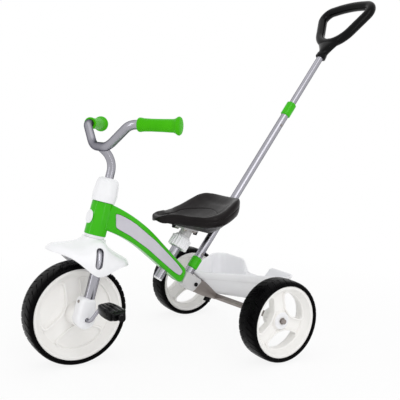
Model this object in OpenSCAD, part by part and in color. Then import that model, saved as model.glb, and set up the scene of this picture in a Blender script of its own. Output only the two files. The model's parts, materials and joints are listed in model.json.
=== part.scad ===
// Toddler push-along trike: arched beam frame, fixed-drive front wheel with cranks,
// two free rear wheels, dished saddle, rear tub and a telescopic push pole.
// Millimetres. +X points to the rear, +Y to the trike's right, +Z up.
// The origin is on the ground under the middle of the whole length.

/* [Wheels] */
// Diameter of the front tyre
front_wheel_d = 250; // [220:1:280]
// Diameter of the rear tyres
rear_wheel_d = 210; // [190:1:230]
// Width of every tyre
tyre_width = 60; // [50:1:64]
// Radial thickness of a tyre on its rim
tyre_depth = 13; // [10:0.5:16]
// Distance between the front and rear axles
wheelbase = 454; // [430:1:500]
// Distance between the middle planes of the rear tyres
track = 448; // [430:1:480]
// Number of spokes in a wheel
spoke_count = 3; // [3:1:5]
// Thickness of the spoke web
web_t = 12; // [8:1:18]
// Thickness of the rim under the tyre
rim_wall = 7; // [5:0.5:10]
// Diameter of the front hub
front_hub_d = 56; // [48:1:62]
// Diameter of the rear hubs
rear_hub_d = 50; // [44:1:56]
// Turn of a front pocket to either side of its middle
front_window_turn = 40; // [36:1:44]
// Turn of a rear window to either side of its middle
rear_window_turn = 46; // [40:1:48]
// Thickness of the floor that closes the front pockets
pocket_t = 5; // [3:0.5:8]

/* [Steering] */
// Lean of the steering axis from vertical, top to the rear
head_angle = 14.5; // [10:0.5:20]
// Distance from the front axle up the steering axis to the head tube
head_low = 193; // [190:1:210]
// Length of the head tube
head_length = 82; // [70:1:95]
// Diameter of the head tube at its lower end
head_d = 54; // [48:1:60]
// Diameter of the steerer tube
steerer_d = 25; // [24:0.5:27]
// Diameter of the fork legs
fork_d = 24; // [20:0.5:25]
// Distance between the fork legs' centre lines
fork_span = 116; // [112:1:122]
// Bend radius at the top of the fork legs, on the centre line
fork_bend = 40; // [36:1:44]
// Height of the fork crown's centre line above the axle
crown_h = 168; // [165:1:170]

/* [Mudguard] */
// Reach of the mudguard in front of the steering axis
guard_front_l = 114; // [105:1:122]
// Reach of the mudguard behind the steering axis
guard_rear_l = 105; // [98:1:112]
// Reach of the mudguard's sides past the fork legs' centre lines
guard_side_l = 22; // [21:0.5:32]
// Wall of the mudguard
guard_wall = 3; // [2:0.5:3.5]
// Drop of the side skirts below the wing tips
guard_drop = 33; // [25:1:40]

/* [Handlebar] */
// Diameter of the handlebar
bar_d = 21.5; // [19:0.5:22.5]
// Width between the outer ends of the bar
bar_width = 424; // [400:1:450]
// Rise of the bar from its middle to the grips
bar_rise = 55; // [40:1:70]
// Distance between the two upper bends
bar_bend_span = 246; // [220:1:256]
// Angle of the grips back from straight out
grip_sweep = 41; // [30:0.5:44]
// Length of a grip
grip_length = 101; // [90:1:110]
// Diameter of a grip's body
grip_d = 30; // [27:0.5:34]
// Diameter of the flange at the grip's outer end
grip_flange_d = 42; // [38:1:48]

/* [Cranks and pedals] */
// Diameter of the bent crank rod
crank_d = 10; // [8:0.5:11]
// Length of a crank
crank_length = 46; // [42:1:55]
// Angle of the left crank from straight up, to the rear
crank_angle = 40; // [0:1:90]
// Length of a pedal along its spindle
pedal_length = 90; // [80:1:100]
// Width of a pedal
pedal_width = 46; // [40:1:52]
// Thickness of a pedal
pedal_t = 19; // [17:0.5:24]

/* [Beam] */
// Bend radius of the arched beam
beam_radius = 400; // [380:5:420]
// Slope of the beam where it leaves the head tube
beam_slope_front = 20; // [19:0.5:22]
// Slope of the beam's straight rear part
beam_slope_rear = 43; // [42:0.5:44]
// Length of the straight rear part
beam_straight = 140; // [135:1:145]
// Height of the beam at the head tube
beam_h_front = 66; // [60:1:66]
// Height of the beam at its rear end
beam_h_rear = 38; // [36:1:42]
// Width of the beam
beam_w = 42; // [38:1:46]
// Rounding of the beam's long edges
beam_round = 8; // [6:0.5:9]

/* [Seat] */
// Lean of the seat tube from vertical, top to the rear
seat_angle = 35; // [33:0.5:37]
// Distance of the seat tube's top behind the front axle
seat_top_x = 283; // [278:1:288]
// Height of the seat tube's top above the front axle
seat_top_up = 139; // [135:1:143]
// Outer diameter of the seat tube
seat_tube_d = 25.4; // [24:0.2:28]
// Diameter of the seat post
seat_post_d = 22; // [19:0.2:22.4]
// Length of the saddle
saddle_length = 235; // [220:1:240]
// Greatest width of the saddle
saddle_width = 218; // [190:1:230]
// Height of the saddle's rim in its lowest stretch above the front axle
saddle_up = 227; // [223:1:235]
// Rise of the saddle's rim at the rear
saddle_rise = 44; // [30:1:55]
// Depth of the dish below the rim
saddle_dish = 20; // [12:1:24]
// Height of the saddle's side
saddle_side = 40; // [36:1:46]

/* [Rear frame] */
// Length of the lug and arm behind the beam
arm_length = 135; // [130:1:142]
// Height of the lug
lug_h = 40; // [36:1:44]
// Thickness of the lug
lug_t = 36; // [34:1:40]
// Diameter of the rear stays
stay_d = 16; // [14:0.5:19]
// Diameter of the stub axles
axle_d = 10; // [9:0.5:12]

/* [Tub] */
// Distance of the tub's rear wall behind the rear axle
tub_rear = 103; // [90:1:115]
// Width of the tub's rim at the rear
tub_w = 350; // [320:1:356]
// Height of the tub from its floor to its rim
tub_h = 72; // [60:0.5:85]
// Wall of the tub
tub_wall = 3; // [2.5:0.5:4]

/* [Push pole] */
// Lean of the push pole from vertical, top to the rear
pole_angle = 35.7; // [35:0.1:36.5]
// Distance of the socket's top behind the front axle
pole_base_x = 331; // [329:1:334]
// Height of the socket's top above the front axle
pole_base_up = 77; // [74:1:80]
// Outer diameter of the lower pole tube
pole_d = 22; // [20:0.2:22.4]
// Wall of the lower pole tube
pole_wall = 1.4; // [1.2:0.1:2]
// Distance up the pole to the upper collar
collar_up = 519; // [480:1:560]
// Distance up the pole to the crown of the push handle's bowed crossbar
handle_up = 935; // [890:1:960]
// Width of the handle loop between the points of its corners
handle_w = 216; // [204:1:250]
// Diameter of the handle loop
handle_d = 28; // [24:0.5:30]

/* [Hidden] */

$fn = 64;
// Overrun of every cut past the face it opens
over = 1;
// Radial play of a part that turns or slides in another
run_gap = 0.08;
// Radial play of a part that is fixed in another
fit_gap = 0.1;
// Gap between faces of parts that move past each other
move_gap = 0.4;
// Extra radius of a bend over the straights that enter it
bend_swell = 0.15;

silver = [0.75, 0.75, 0.78];
green = [0.25, 0.68, 0.10];
ivory = [0.93, 0.92, 0.87];
white = [0.96, 0.96, 0.97];
black = [0.08, 0.08, 0.09];
grey = [0.62, 0.62, 0.62];

// Straight-line distance from the front axle to the rear end of the handle loop
pole_dir = [sin(pole_angle), 0, cos(pole_angle)];
handle_x = pole_base_x + handle_up * pole_dir.x + handle_d / 2;
front_x = (front_wheel_d / 2 - handle_x) / 2;
front_axle = [front_x, 0, front_wheel_d / 2];
rear_axle = [front_x + wheelbase, 0, rear_wheel_d / 2];
seat_top_z = front_axle.z + seat_top_up;
saddle_z = front_axle.z + saddle_up;
pole_base_z = front_axle.z + pole_base_up;

// Half the fork's span, and half the width of the mudguard over the legs
fork_leg = fork_span / 2;
guard_half_w = fork_leg + guard_side_l;

// Places along the steering axis, measured from the front axle
head_high = head_low + head_length;
bush_flange = 7;
bush_depth = 12;
bush_d = 33;
head_taper = 1;
bush_step = 3;
cap_flange = 4;
cap_flange_d = 44;
guard_top = head_low - bush_flange - move_gap;
guard_seat = crown_h + fork_d / 2;
steerer_top = 318;
// The stem is a little thinner than the bar that it is welded to
stem_share = 0.968;
stem_d = bar_d * stem_share;
stem_low = 296;
stem_bend_at = 350;
stem_bend = 51;
stem_turn = 64;
stem_run = 16.5;
boot_top = 335;

// Turns a point of the steering frame into the trike's frame
function steer_point(p) = front_axle + [
    p.x * cos(head_angle) + p.z * sin(head_angle), p.y, p.z * cos(head_angle) - p.x * sin(head_angle)];

stem_end = [-stem_bend * (1 - cos(stem_turn)) - stem_run * sin(stem_turn), 0,
    stem_bend_at + stem_bend * sin(stem_turn) + stem_run * cos(stem_turn)];
bar_middle = steer_point(stem_end);

module steer_frame() {
    translate(front_axle) rotate([0, head_angle, 0]) children();
}

module seat_frame() {
    translate([front_x + seat_top_x, 0, seat_top_z]) rotate([0, seat_angle, 0]) children();
}

module pole_frame() {
    translate([front_x + pole_base_x, 0, pole_base_z]) rotate([0, pole_angle, 0]) children();
}

// Mirrors a part of the left side (-Y) to the side asked for: -1 left, 1 right
module on_side(side) {
    mirror([0, side > 0 ? 1 : 0, 0]) children();
}

module ring(outer_r, inner_r, height) {
    difference() {
        cylinder(r = outer_r, h = height);
        translate([0, 0, -over]) cylinder(r = inner_r, h = height + 2 * over);
    }
}

function unit(v) = v / norm(v);

// Solid rod between two points
module rod(p, q, r) {
    d = unit(q - p);
    translate(p) rotate([0, acos(d.z), atan2(d.y, d.x)]) cylinder(r = r, h = norm(q - p));
}

// Round bend of radius bend at corner q, between the directions p to q and q to s
module rod_bend(p, q, s, bend, r) {
    d = unit(q - p);
    e = unit(s - q);
    turn = acos(d * e);
    inward = unit(e - d * (d * e));
    start = q - d * bend * tan(turn / 2);
    centre = start + inward * bend;
    up = cross(-inward, d);
    multmatrix([[-inward.x, d.x, up.x, centre.x], [-inward.y, d.y, up.y, centre.y],
        [-inward.z, d.z, up.z, centre.z]])
        rotate_extrude(angle = turn) translate([bend, 0]) circle(r = r + bend_swell);
}

function bend_trim(p, q, s, bend) = bend * tan(acos(unit(q - p) * unit(s - q)) / 2);

// Bent rod through a list of points, with one bend radius at each inner point
module bent_rod(points, bends, r) {
    last = len(points) - 1;
    trims = [for (i = [0:last]) i == 0 || i == last ? 0
        : bend_trim(points[i - 1], points[i], points[i + 1], bends[i - 1])];
    union() {
        for (i = [0:last - 1]) {
            d = unit(points[i + 1] - points[i]);
            rod(points[i] + d * max(0, trims[i] - over), points[i + 1] - d * max(0, trims[i + 1] - over), r);
        }
        for (i = [1:last - 1]) rod_bend(points[i - 1], points[i], points[i + 1], bends[i - 1], r);
    }
}

// Closed loop of rod through a list of points, with one bend radius at each point
module rod_loop(points, bends, r) {
    n = len(points);
    trims = [for (i = [0:n - 1])
        bend_trim(points[(i + n - 1) % n], points[i], points[(i + 1) % n], bends[i])];
    union() {
        for (i = [0:n - 1]) {
            p = points[i];
            q = points[(i + 1) % n];
            d = unit(q - p);
            rod(p + d * (trims[i] - over), q - d * (trims[(i + 1) % n] - over), r);
            rod_bend(points[(i + n - 1) % n], p, q, bends[i], r);
        }
    }
}

function middle(ring) = [for (k = [0:2]) [for (p = ring) p[k]] * [for (p = ring) 1] / len(ring)];

// Closed skin over a list of rings with the same number of points each, which turn
// counter-clockwise when seen from the last ring
module skin(rings) {
    n = len(rings[0]);
    m = len(rings);
    points = concat([for (ring = rings) each ring], [middle(rings[0]), middle(rings[m - 1])]);
    sides = [for (j = [0:m - 2], i = [0:n - 1]) each [
        [j * n + i, (j + 1) * n + i, j * n + (i + 1) % n],
        [j * n + (i + 1) % n, (j + 1) * n + i, (j + 1) * n + (i + 1) % n]]];
    first = [for (i = [0:n - 1]) [i, (i + 1) % n, m * n]];
    final = [for (i = [0:n - 1]) [(m - 1) * n + (i + 1) % n, (m - 1) * n + i, m * n + 1]];
    polyhedron(points = points, faces = concat(sides, first, final), convexity = 6);
}

// Main frame: head tube and arched beam

beam_arc = beam_radius * (beam_slope_rear - beam_slope_front) * PI / 180;
beam_length = beam_arc + beam_straight;
beam_rise = 244;
beam_from = 14;
beam_start = steer_point([0, 0, beam_rise]);
beam_bend_end = beam_start + [beam_radius * (sin(beam_slope_rear) - sin(beam_slope_front)), 0,
    beam_radius * (cos(beam_slope_rear) - cos(beam_slope_front))];
beam_dir = [cos(beam_slope_rear), 0, -sin(beam_slope_rear)];
beam_end = beam_bend_end + beam_dir * beam_straight;

// Slope, centre and half height of the beam at a distance along it
function beam_slope(at) = at < beam_arc ? beam_slope_front + at / beam_radius * 180 / PI : beam_slope_rear;
function beam_centre(at) = at < beam_arc
    ? beam_start + [beam_radius * (sin(beam_slope(at)) - sin(beam_slope_front)), 0,
        beam_radius * (cos(beam_slope(at)) - cos(beam_slope_front))]
    : beam_bend_end + beam_dir * (at - beam_arc);
function beam_normal(at) = [sin(beam_slope(at)), 0, cos(beam_slope(at))];
function beam_half(at) = (beam_h_front + (beam_h_rear - beam_h_front) * at / beam_length) / 2;

beam_corner_steps = 4;
beam_stations = 14;
beam_tip = 14;
beam_tip_inset = 10;
beam_end_tilt = 17;
beam_lean_run = 40;
beam_tip_steps = 4;

// Share of the end face's tilt that a ring of the beam has
function beam_lean(at) = max(0, 1 - (beam_length - at) / beam_lean_run);

// Rounded rectangle of the beam at a distance along it, drawn in by a step at the tip
function beam_ring(at, step) = [for (k = [0:3], i = [0:beam_corner_steps])
    let (turn = 90 * k + 90 * i / beam_corner_steps,
        sy = k == 0 || k == 3 ? 1 : -1,
        sz = k < 2 ? 1 : -1,
        y = sy * (beam_w / 2 - step - beam_round) + beam_round * cos(turn),
        z = sz * (beam_half(at) - step - beam_round) + beam_round * sin(turn))
    beam_centre(at) + beam_normal(at) * z + [0, y, 0] - beam_dir * z * tan(beam_end_tilt) * beam_lean(at)];

module beam() {
    body = beam_length - beam_tip;
    skin(concat(
        [for (i = [0:beam_stations]) beam_ring(beam_from + (body - beam_from) * i / beam_stations, 0)],
        [for (i = [1:beam_tip_steps]) let (turn = 90 * i / beam_tip_steps)
            beam_ring(body + beam_tip * sin(turn), beam_tip_inset * (1 - cos(turn)))]));
}

panel_from = 38;
panel_to = 282;
panel_margin = 12;
// Shift of the panel towards the top of the beam at its front and rear ends
panel_shift_front = -2;
panel_shift_rear = 4;
panel_t = 1.6;
panel_steps = 16;
panel_power = 4.5;

// Outline of a side panel in the X-Z plane
function panel_edge(side) = [for (i = [0:panel_steps])
    let (u = cos(180 * i / panel_steps) * side,
        at = (panel_from + panel_to) / 2 + u * (panel_to - panel_from) / 2,
        half = beam_half(at) - panel_margin,
        shift = panel_shift_front + (panel_shift_rear - panel_shift_front) * (1 + u * side) / 2,
        squeeze = pow(max(0, 1 - pow(abs(u), panel_power)), 1 / panel_power),
        p = beam_centre(at) + beam_normal(at) * (shift + side * half * squeeze))
    [p.x, p.z]];

module panel_outline() {
    upper = panel_edge(1);
    lower = panel_edge(-1);
    polygon(concat([for (i = [0:panel_steps - 1]) upper[i]], [for (i = [0:panel_steps - 1]) lower[i]]));
}

// Extrudes an X-Z outline along Y from one place to another
module extrude_y(from, to) {
    translate([0, to, 0]) rotate([90, 0, 0]) linear_extrude(height = to - from) children();
}

module main_frame() {
    color(green) difference() {
        union() {
            steer_frame() translate([0, 0, head_low])
                cylinder(d1 = head_d, d2 = head_d - head_taper, h = head_length);
            beam();
        }
        steer_frame() translate([0, 0, head_low - over])
            cylinder(d = bush_d + 2 * fit_gap, h = head_length + 2 * over);
        seat_frame() translate([0, 0, -seat_tube_drop - over])
            cylinder(d = seat_tube_d + 2 * fit_gap, h = seat_tube_drop + 2 * over);
        badge_place() translate([0, 0, -badge_sink]) cylinder(d = badge_d + 2 * fit_gap, h = head_d);
    }
}

module side_panel(side) {
    face = beam_w / 2;
    color(silver) extrude_y(side > 0 ? face : -face - panel_t, side > 0 ? face + panel_t : -face)
        panel_outline();
}

badge_d = 34;
badge_t = 3;
badge_sink = 2;

// Frame at the front of the head tube, looking forward
module badge_place() {
    steer_frame() translate([-(head_d - head_taper / 2) / 2, 0, head_low + head_length / 2])
        rotate([0, -90, 0]) children();
}

module head_badge() {
    color(white) badge_place() translate([0, 0, -badge_sink]) union() {
        cylinder(d = badge_d, h = badge_t - badge_sink / 2);
        cylinder(d1 = badge_d, d2 = badge_d - badge_t, h = badge_t);
    }
}

module head_bushing_lower() {
    color(white) steer_frame() difference() {
        union() {
            translate([0, 0, head_low - bush_flange])
                cylinder(d1 = head_d - bush_flange, d2 = head_d - bush_step, h = bush_flange);
            translate([0, 0, head_low]) cylinder(d = bush_d, h = bush_depth);
        }
        translate([0, 0, head_low - bush_flange - over])
            cylinder(d = steerer_d + 2 * run_gap, h = bush_flange + bush_depth + 2 * over);
    }
}

module head_bushing_upper() {
    color(white) steer_frame() difference() {
        union() {
            translate([0, 0, head_high]) cylinder(d = cap_flange_d, h = cap_flange);
            translate([0, 0, head_high - bush_depth]) cylinder(d = bush_d, h = bush_depth);
        }
        translate([0, 0, head_high - bush_depth - over])
            cylinder(d = steerer_d + 2 * run_gap, h = cap_flange + bush_depth + 2 * over);
    }
}

// Rear frame: lug and arm in line with the beam, two stays and the stub axles

// Outline of the lug and arm: shares of the arm's length and of the lug's height
lug_face_shares = [-0.42, 0.46];
function lug_face(share) = [-share * lug_h * tan(beam_end_tilt) / arm_length, share];
arm_shares = [lug_face(lug_face_shares[0]), [0.17, -0.44], [0.38, -0.29], [0.64, 0], [1, 0.52],
    [0.9, 0.82], [0.59, 0.96], [0.4, 0.78], [0.2, 0.6], lug_face(lug_face_shares[1])];
arm_t = 26;
stay_root_shares = [0.95, 0.67];
stay_boss_d = 24;
stay_boss_t = 14;
hub_inset = 5;
wheel_inner = track / 2 - tyre_width / 2;
nut_h = 8;
nut_wall = 3;
// Domed cap of the axle nut: shares of the nut's height that its two diameters add and that it rises
nut_cap_shares = [0.5, 0.3, 1.25];
hub_outer = track / 2 + tyre_width / 2 - 2 * nut_h;
axle_end = hub_outer + nut_h;
lug_bolt_shares = [0.31, 0.2];

function arm_point(share) = beam_end + beam_dir * share.x * arm_length
    + [sin(beam_slope_rear), 0, cos(beam_slope_rear)] * share.y * lug_h;

function flat_xz(p) = [p.x, p.z];

module rear_frame() {
    root = arm_point(stay_root_shares);
    boss_inner = wheel_inner - hub_inset - move_gap - stay_boss_t;
    color(grey) difference() {
        union() {
            extrude_y(-arm_t / 2, arm_t / 2) polygon([for (s = arm_shares) flat_xz(arm_point(s))]);
            extrude_y(-lug_t / 2, lug_t / 2)
                polygon([for (i = [0, 1, 2, 7, 8, 9]) flat_xz(arm_point(arm_shares[i]))]);
            for (side = [-1, 1]) {
                rod(root, [rear_axle.x, side * (boss_inner + stay_boss_t / 2), rear_axle.z], stay_d / 2);
                translate([rear_axle.x, side * boss_inner, rear_axle.z]) rotate([-90 * side, 0, 0]) {
                    cylinder(d = stay_boss_d, h = stay_boss_t);
                    cylinder(d = axle_d, h = axle_end - boss_inner);
                }
            }
        }
        pole_frame() translate([0, 0, -socket_depth])
            cylinder(d = socket_d + 2 * fit_gap, h = socket_depth + lug_h);
        bolt_place() cylinder(d = bolt_d + 2 * fit_gap, h = lug_t + 2 * over, center = true);
        screw_place() translate([0, 0, -over])
            cylinder(d = screw_d + 2 * run_gap, h = screw_l + over);
    }
}

bolt_d = 6;
bolt_head_d = 11;
bolt_head_h = 4;

module bolt_place() {
    translate(arm_point(lug_bolt_shares)) rotate([90, 0, 0]) children();
}

module lug_bolt() {
    color(silver) bolt_place() union() {
        cylinder(d = bolt_d, h = lug_t, center = true);
        for (side = [-1, 1]) translate([0, 0, side * (lug_t + bolt_head_h) / 2])
            cylinder(d = bolt_head_d, h = bolt_head_h, center = true, $fn = 6);
    }
}

module axle_nuts() {
    color(silver) for (side = [-1, 1])
        translate([rear_axle.x, side * (hub_outer + move_gap), rear_axle.z]) rotate([-90 * side, 0, 0])
            difference() {
                union() {
                    cylinder(d = axle_d + 2 * nut_wall, h = nut_h / 2, $fn = 6);
                    cylinder(d1 = axle_d + nut_h * nut_cap_shares[0], d2 = axle_d + nut_h * nut_cap_shares[1],
                        h = nut_h * nut_cap_shares[2]);
                }
                translate([0, 0, -over]) cylinder(d = axle_d + 2 * fit_gap, h = nut_h - move_gap + over);
            }
}

screw_share = 0.82;
screw_d = 8;
screw_l = 21;
knob_d = 20;
knob_h = 11;
knob_taper_share = 0.33;

// Frame at the underside of the arm where the thumb screw goes in, pointing up
module screw_place() {
    low = arm_shares[3];
    high = arm_shares[4];
    along = (screw_share - low.x) / (high.x - low.x);
    translate(arm_point([screw_share, low.y + (high.y - low.y) * along]))
        rotate([0, beam_slope_rear - atan2((high.y - low.y) * lug_h, (high.x - low.x) * arm_length), 0])
            children();
}

module tub_screw() {
    color(black) screw_place() union() {
        cylinder(d = screw_d, h = screw_l - move_gap);
        translate([0, 0, -knob_h - move_gap])
            cylinder(d1 = knob_d, d2 = knob_d - knob_h * knob_taper_share, h = knob_h);
        translate([0, 0, -move_gap - over]) cylinder(d = screw_d, h = 2 * over);
    }
}

// Seat tube, post, clamp and saddle

seat_tube_drop = 96;
seat_tube_wall = (seat_tube_d - seat_post_d) / 2 - run_gap;
seat_tube_rise = 12;
plug_h = 8;
plug_lip = 3;
clamp_low = -1;
clamp_d = 54;
clamp_h = 28;
clamp_ribs = 20;
clamp_rib_d = 4;
clamp_cap_d = 40;
clamp_cap_h = 6;
post_low = 58;
post_high = 40;
bracket_low = clamp_low + clamp_h + clamp_cap_h + move_gap;
bracket_d1 = 34;
bracket_d2 = 26;

module seat_tube() {
    color(silver) seat_frame() difference() {
        translate([0, 0, -seat_tube_drop]) cylinder(d = seat_tube_d, h = seat_tube_drop + seat_tube_rise);
        translate([0, 0, -seat_tube_drop - over])
            cylinder(d = seat_post_d + 2 * run_gap, h = seat_tube_drop + seat_tube_rise + 2 * over);
    }
}

module seat_tube_plug() {
    color(white) seat_frame() translate([0, 0, -seat_tube_drop]) union() {
        translate([0, 0, -plug_lip]) cylinder(d1 = seat_post_d, d2 = seat_tube_d, h = plug_lip);
        cylinder(d = seat_post_d, h = plug_h);
    }
}

module seat_clamp_nut() {
    color(white) seat_frame() translate([0, 0, clamp_low]) difference() {
        union() {
            cylinder(d = clamp_d - clamp_rib_d, h = clamp_h);
            translate([0, 0, clamp_h])
                cylinder(d1 = clamp_d - 2 * clamp_rib_d, d2 = clamp_cap_d, h = clamp_cap_h);
            for (i = [0:clamp_ribs - 1]) rotate([0, 0, 360 * i / clamp_ribs])
                translate([(clamp_d - clamp_rib_d) / 2, 0, 0]) cylinder(d = clamp_rib_d, h = clamp_h);
        }
        translate([0, 0, -over]) cylinder(d = seat_tube_d + 2 * run_gap,
            h = seat_tube_rise - clamp_low + move_gap + over);
        cylinder(d = seat_post_d + 4 * run_gap, h = clamp_h + clamp_cap_h + over);
    }
}

module seat_post() {
    color(silver) seat_frame() translate([0, 0, -post_low])
        cylinder(d = seat_post_d, h = post_low + post_high);
}

// Flat under the saddle, which meets the axis of the seat tube at pan_x, pan_z and slopes down to the rear
pan_up = 59;
pan_tilt = 14.6;
pan_x = seat_top_x + pan_up * sin(seat_angle);
pan_z = seat_top_z + pan_up * cos(seat_angle);
pan_t = 5;
pan_w = 60;
pan_l = 44;
pan_shift = 8;
pan_bolt_d = 8;
pan_bolt_h = 4;
bracket_h = 44;

// Height of the flat under the saddle, x behind the front axle
function pan_height(x) = pan_z - (x - pan_x) * tan(pan_tilt);

module pan_frame() {
    translate([front_x + pan_x, 0, pan_z]) rotate([0, pan_tilt, 0]) children();
}

// Cup on the post with a plate that carries the saddle
module saddle_bracket() {
    color(grey) difference() {
        union() {
            intersection() {
                seat_frame() translate([0, 0, bracket_low])
                    cylinder(d1 = bracket_d1, d2 = bracket_d2, h = bracket_h);
                pan_frame() translate([-pan_up, -pan_w / 2, -pan_up])
                    cube([2 * pan_up, pan_w, pan_up - pan_t / 2]);
            }
            pan_frame() translate([-pan_shift - pan_l / 2, -pan_w / 2, -pan_t]) cube([pan_l, pan_w, pan_t]);
        }
        seat_frame() translate([0, 0, -over]) cylinder(d = seat_post_d + 2 * fit_gap, h = post_high + over);
        pan_corners() translate([0, 0, -pan_t - over])
            cylinder(d = pan_bolt_d + 2 * fit_gap, h = pan_t + 2 * over);
    }
}

module pan_corners() {
    pan_frame() for (sx = [-1, 1], sy = [-1, 1])
        translate([sx * (pan_l / 2 - pan_bolt_d) - pan_shift, sy * (pan_w / 2 - pan_bolt_d), 0]) children();
}

module bracket_bolts() {
    color(silver) pan_corners() translate([0, 0, -pan_t - pan_bolt_h]) union() {
        cylinder(d = pan_bolt_d + pan_bolt_h, h = pan_bolt_h, $fn = 6);
        cylinder(d = pan_bolt_d, h = pan_bolt_h + pan_t);
    }
}

// Saddle along its length: shares of length, of half width, of the rim's rise, of the side's height and of
// the underside's lift off the sloping flat, which is in side heights too
saddle_shares = [[0, 0.06, -0.16, 0.1, 0], [0.02, 0.17, -0.06, 0.25, 0], [0.06, 0.25, 0.02, 0.4, 0],
    [0.12, 0.31, 0.11, 0.5, 0], [0.2, 0.42, 0.12, 0.58, 0], [0.3, 0.62, 0.05, 0.62, 0],
    [0.42, 0.87, 0.04, 0.72, 0], [0.54, 0.985, 0.17, 0.85, 0], [0.64, 1, 0.37, 0.98, 0.24],
    [0.74, 0.96, 0.62, 1.06, 0.6], [0.84, 0.84, 0.9, 1.12, 1.17], [0.92, 0.68, 1.03, 0.97, 1.96],
    [0.97, 0.48, 1.06, 0.6, 2.46], [0.99, 0.26, 1.04, 0.42, 2.66], [1, 0.08, 0.98, 0.18, 2.76]];
// Cross-section of the saddle: shares of half width and of the depth of dish or side
saddle_top_shares = [[0.95, 0.02], [0.86, -0.06], [0.7, -0.45], [0.45, -0.86], [0.2, -1]];
saddle_side_shares = [[0.99, -0.05], [1, -0.2], [0.99, -0.55], [0.95, -0.88], [0.88, -1]];
saddle_under_share = 0.55;
saddle_nose_x = 212;
// The dish fades out over these shares of the length at the nose and at the rear
saddle_fade_shares = [0.16, 0.12];

function saddle_fade(s) = min(1, min(s / saddle_fade_shares[0], (1 - s) / saddle_fade_shares[1]));

function saddle_ring(s) =
    let (x = saddle_nose_x + s[0] * saddle_length,
        w = s[1] * saddle_width / 2,
        z = saddle_z + s[2] * saddle_rise,
        dish = saddle_dish * saddle_fade(s[0]),
        side = saddle_side * s[3],
        half = concat(
            [for (i = [len(saddle_top_shares) - 1:-1:0])
                let (q = saddle_top_shares[i]) [q[0] * w, z + q[1] * dish]],
            [for (q = saddle_side_shares) [q[0] * w, z + q[1] * side]],
            [[saddle_under_share * w, pan_height(x) + s[4] * saddle_side]]))
    concat([for (q = half) [front_x + x, q[0], q[1]]],
        [for (i = [len(half) - 1:-1:0]) [front_x + x, -half[i][0], half[i][1]]]);

module saddle() {
    last = len(saddle_shares) - 1;
    color(black) skin([for (i = [0:last]) saddle_ring(saddle_shares[last - i])]);
}

stud_front_d = 11;
stud_front_h = 8;
stud_rear_d = 15;
stud_rear_h = 14;
stud_taper_share = 0.7;
// Places of the two studs along the saddle's length
stud_shares = [0.255, 0.55];

module saddle_studs() {
    studs = [[stud_shares[0], stud_front_d, stud_front_h], [stud_shares[1], stud_rear_d, stud_rear_h]];
    color(black) for (s = studs)
        let (x = saddle_nose_x + s[0] * saddle_length)
            translate([front_x + x, 0, pan_height(x)]) rotate([0, pan_tilt, 0]) translate([0, 0, -s[2]])
                cylinder(d1 = s[1] * stud_taper_share, d2 = s[1], h = s[2]);
}

// Push pole and handle

socket_d = 25.4;
socket_depth = 35;
handle_loop = 215;
handle_drop = 198;
collar_d = 29;
collar_h = 34;
collar_round = 3;
upper_collar_h = 44;
handle_tube_d = pole_d - 2 * pole_wall - 2 * run_gap;
handle_tube_wall = 1.3;
handle_tube_low = 330;
handle_socket_up = handle_up - handle_drop;
handle_socket_h = 62;
handle_socket_d = 30;
handle_tube_in = 36;
handle_tube_high = handle_socket_up + handle_tube_in;
// The crossbar rises between its corners in one large bend
handle_bow = 17;
handle_bow_r = 355;
handle_bow_turn = atan(handle_bow / (handle_w / 2));
handle_corner_up = handle_up - handle_bow + handle_bow_r * (1 / cos(handle_bow_turn) - 1);
handle_vertex_up = handle_corner_up - handle_loop;
handle_corner_r = 28;
handle_vertex_r = 70;
// Lowest point of the loop's rod on the pole's axis
handle_arc_up = handle_vertex_up + handle_vertex_r * (norm([handle_w / 2, handle_loop]) / (handle_w / 2) - 1);

module pole_socket() {
    color(silver) pole_frame() translate([0, 0, -socket_depth]) difference() {
        cylinder(d = socket_d, h = socket_depth);
        translate([0, 0, pole_wall]) cylinder(d = pole_d + 2 * run_gap, h = socket_depth + over);
    }
}

// Sleeve with rounded ends on a tube
module collar(outer_d, inner_d, height) {
    rotate_extrude() polygon([[inner_d / 2, 0], [outer_d / 2 - collar_round, 0], [outer_d / 2, collar_round],
        [outer_d / 2, height - collar_round], [outer_d / 2 - collar_round, height], [inner_d / 2, height]]);
}

module lower_collar() {
    color(green) pole_frame() collar(collar_d, pole_d + 2 * run_gap, collar_h);
}

module pole_tube() {
    low = -socket_depth + pole_wall + move_gap;
    color(silver) pole_frame() difference() {
        translate([0, 0, low]) ring(pole_d / 2, pole_d / 2 - pole_wall, collar_up + upper_collar_h / 2 - low);
        translate([0, 0, button_up]) rotate([90, 0, 0]) cylinder(d = button_d + 2 * run_gap, h = pole_d);
        translate([0, 0, collar_up - button_drop]) rotate([90, 0, 0])
            cylinder(d = button_d + 2 * run_gap, h = pole_d);
    }
}

module upper_collar() {
    color(green) pole_frame() translate([0, 0, collar_up]) difference() {
        collar(collar_d, handle_tube_d + 2 * run_gap, upper_collar_h);
        translate([0, 0, -over]) cylinder(d = pole_d + 2 * fit_gap, h = upper_collar_h / 2 + over);
    }
}

module handle_tube() {
    color(silver) pole_frame() difference() {
        translate([0, 0, handle_tube_low])
            ring(handle_tube_d / 2, handle_tube_d / 2 - handle_tube_wall, handle_tube_high - handle_tube_low);
        translate([0, 0, collar_up - button_drop]) rotate([90, 0, 0])
            cylinder(d = button_d + 2 * run_gap, h = pole_d);
    }
}

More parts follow.
